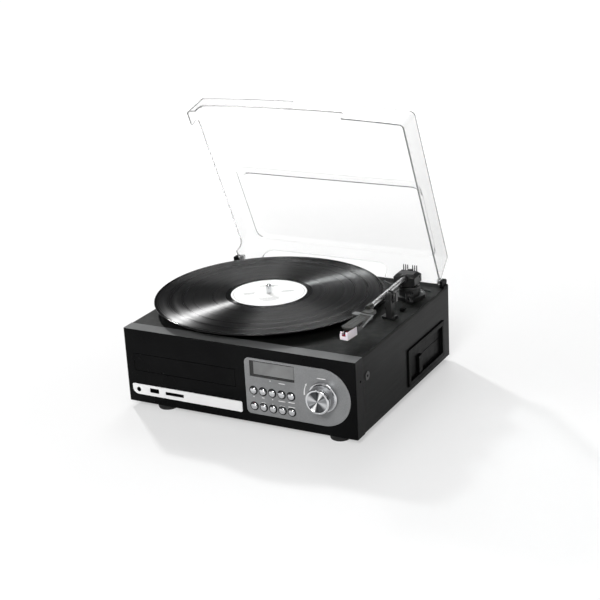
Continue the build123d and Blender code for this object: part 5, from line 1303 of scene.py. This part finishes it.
class PLAYER_OT_display(bpy.types.Operator):
    """Makes the display's pane with its dark surround."""

    bl_idname = "player.display"
    bl_label = "Display"

    def execute(self, context):
        display_pane(context.scene.player_sizes)
        return {"FINISHED"}


class PLAYER_OT_feet(bpy.types.Operator):
    """Makes the four feet."""

    bl_idname = "player.feet"
    bl_label = "Feet"

    def execute(self, context):
        round_feet()
        return {"FINISHED"}


class PLAYER_OT_back(bpy.types.Operator):
    """Makes the screws of the back plate and the rings round its sockets."""

    bl_idname = "player.back"
    bl_label = "Back Plate"

    def execute(self, context):
        screw_heads()
        jack_rings()
        return {"FINISHED"}


class PLAYER_OT_arm(bpy.types.Operator):
    """Makes the tonearm's leads and the ribs on its headshell."""

    bl_idname = "player.arm"
    bl_label = "Tonearm"

    def execute(self, context):
        arm_leads(context.scene.player_sizes)
        headshell_ribs()
        return {"FINISHED"}


class PLAYER_OT_stage(bpy.types.Operator):
    """Makes the floor, the lamps, the soft surroundings and the camera."""

    bl_idname = "player.stage"
    bl_label = "Stage"

    def execute(self, context):
        make_floor()
        make_world()
        for name, numbers in LAMPS.items():
            make_lamp(name, *numbers)
        make_camera()
        context.scene.view_settings.view_transform = "Standard"
        return {"FINISHED"}


class PLAYER_PT_panel(bpy.types.Panel):
    """Lists the player's pieces and settings."""

    bl_label = "Record Player"
    bl_idname = "PLAYER_PT_panel"
    bl_space_type = "VIEW_3D"
    bl_region_type = "UI"
    bl_category = "Player"

    def draw(self, context):
        for operator in OPERATORS:
            self.layout.operator(operator.bl_idname)
        for group in (context.scene.player_sizes, context.scene.player_colours):
            for name in group.__annotations__:
                self.layout.prop(group, name)


OPERATORS = (
    PLAYER_OT_finishes, PLAYER_OT_mouldings, PLAYER_OT_record, PLAYER_OT_knob, PLAYER_OT_buttons,
    PLAYER_OT_display, PLAYER_OT_feet, PLAYER_OT_back, PLAYER_OT_arm, PLAYER_OT_stage,
)
CLASSES = (PlayerSizes, PlayerColours, *OPERATORS, PLAYER_PT_panel)


def register():
    for cls in CLASSES:
        bpy.utils.register_class(cls)
    bpy.types.Scene.player_sizes = bpy.props.PointerProperty(type=PlayerSizes)
    bpy.types.Scene.player_colours = bpy.props.PointerProperty(type=PlayerColours)


def unregister():
    del bpy.types.Scene.player_colours
    del bpy.types.Scene.player_sizes
    for cls in reversed(CLASSES):
        bpy.utils.unregister_class(cls)


def main():
    """Makes everything in order."""
    register()
    for operator in OPERATORS:
        getattr(bpy.ops.player, operator.bl_idname.split(".")[1])()


if __name__ == "__main__":
    main()
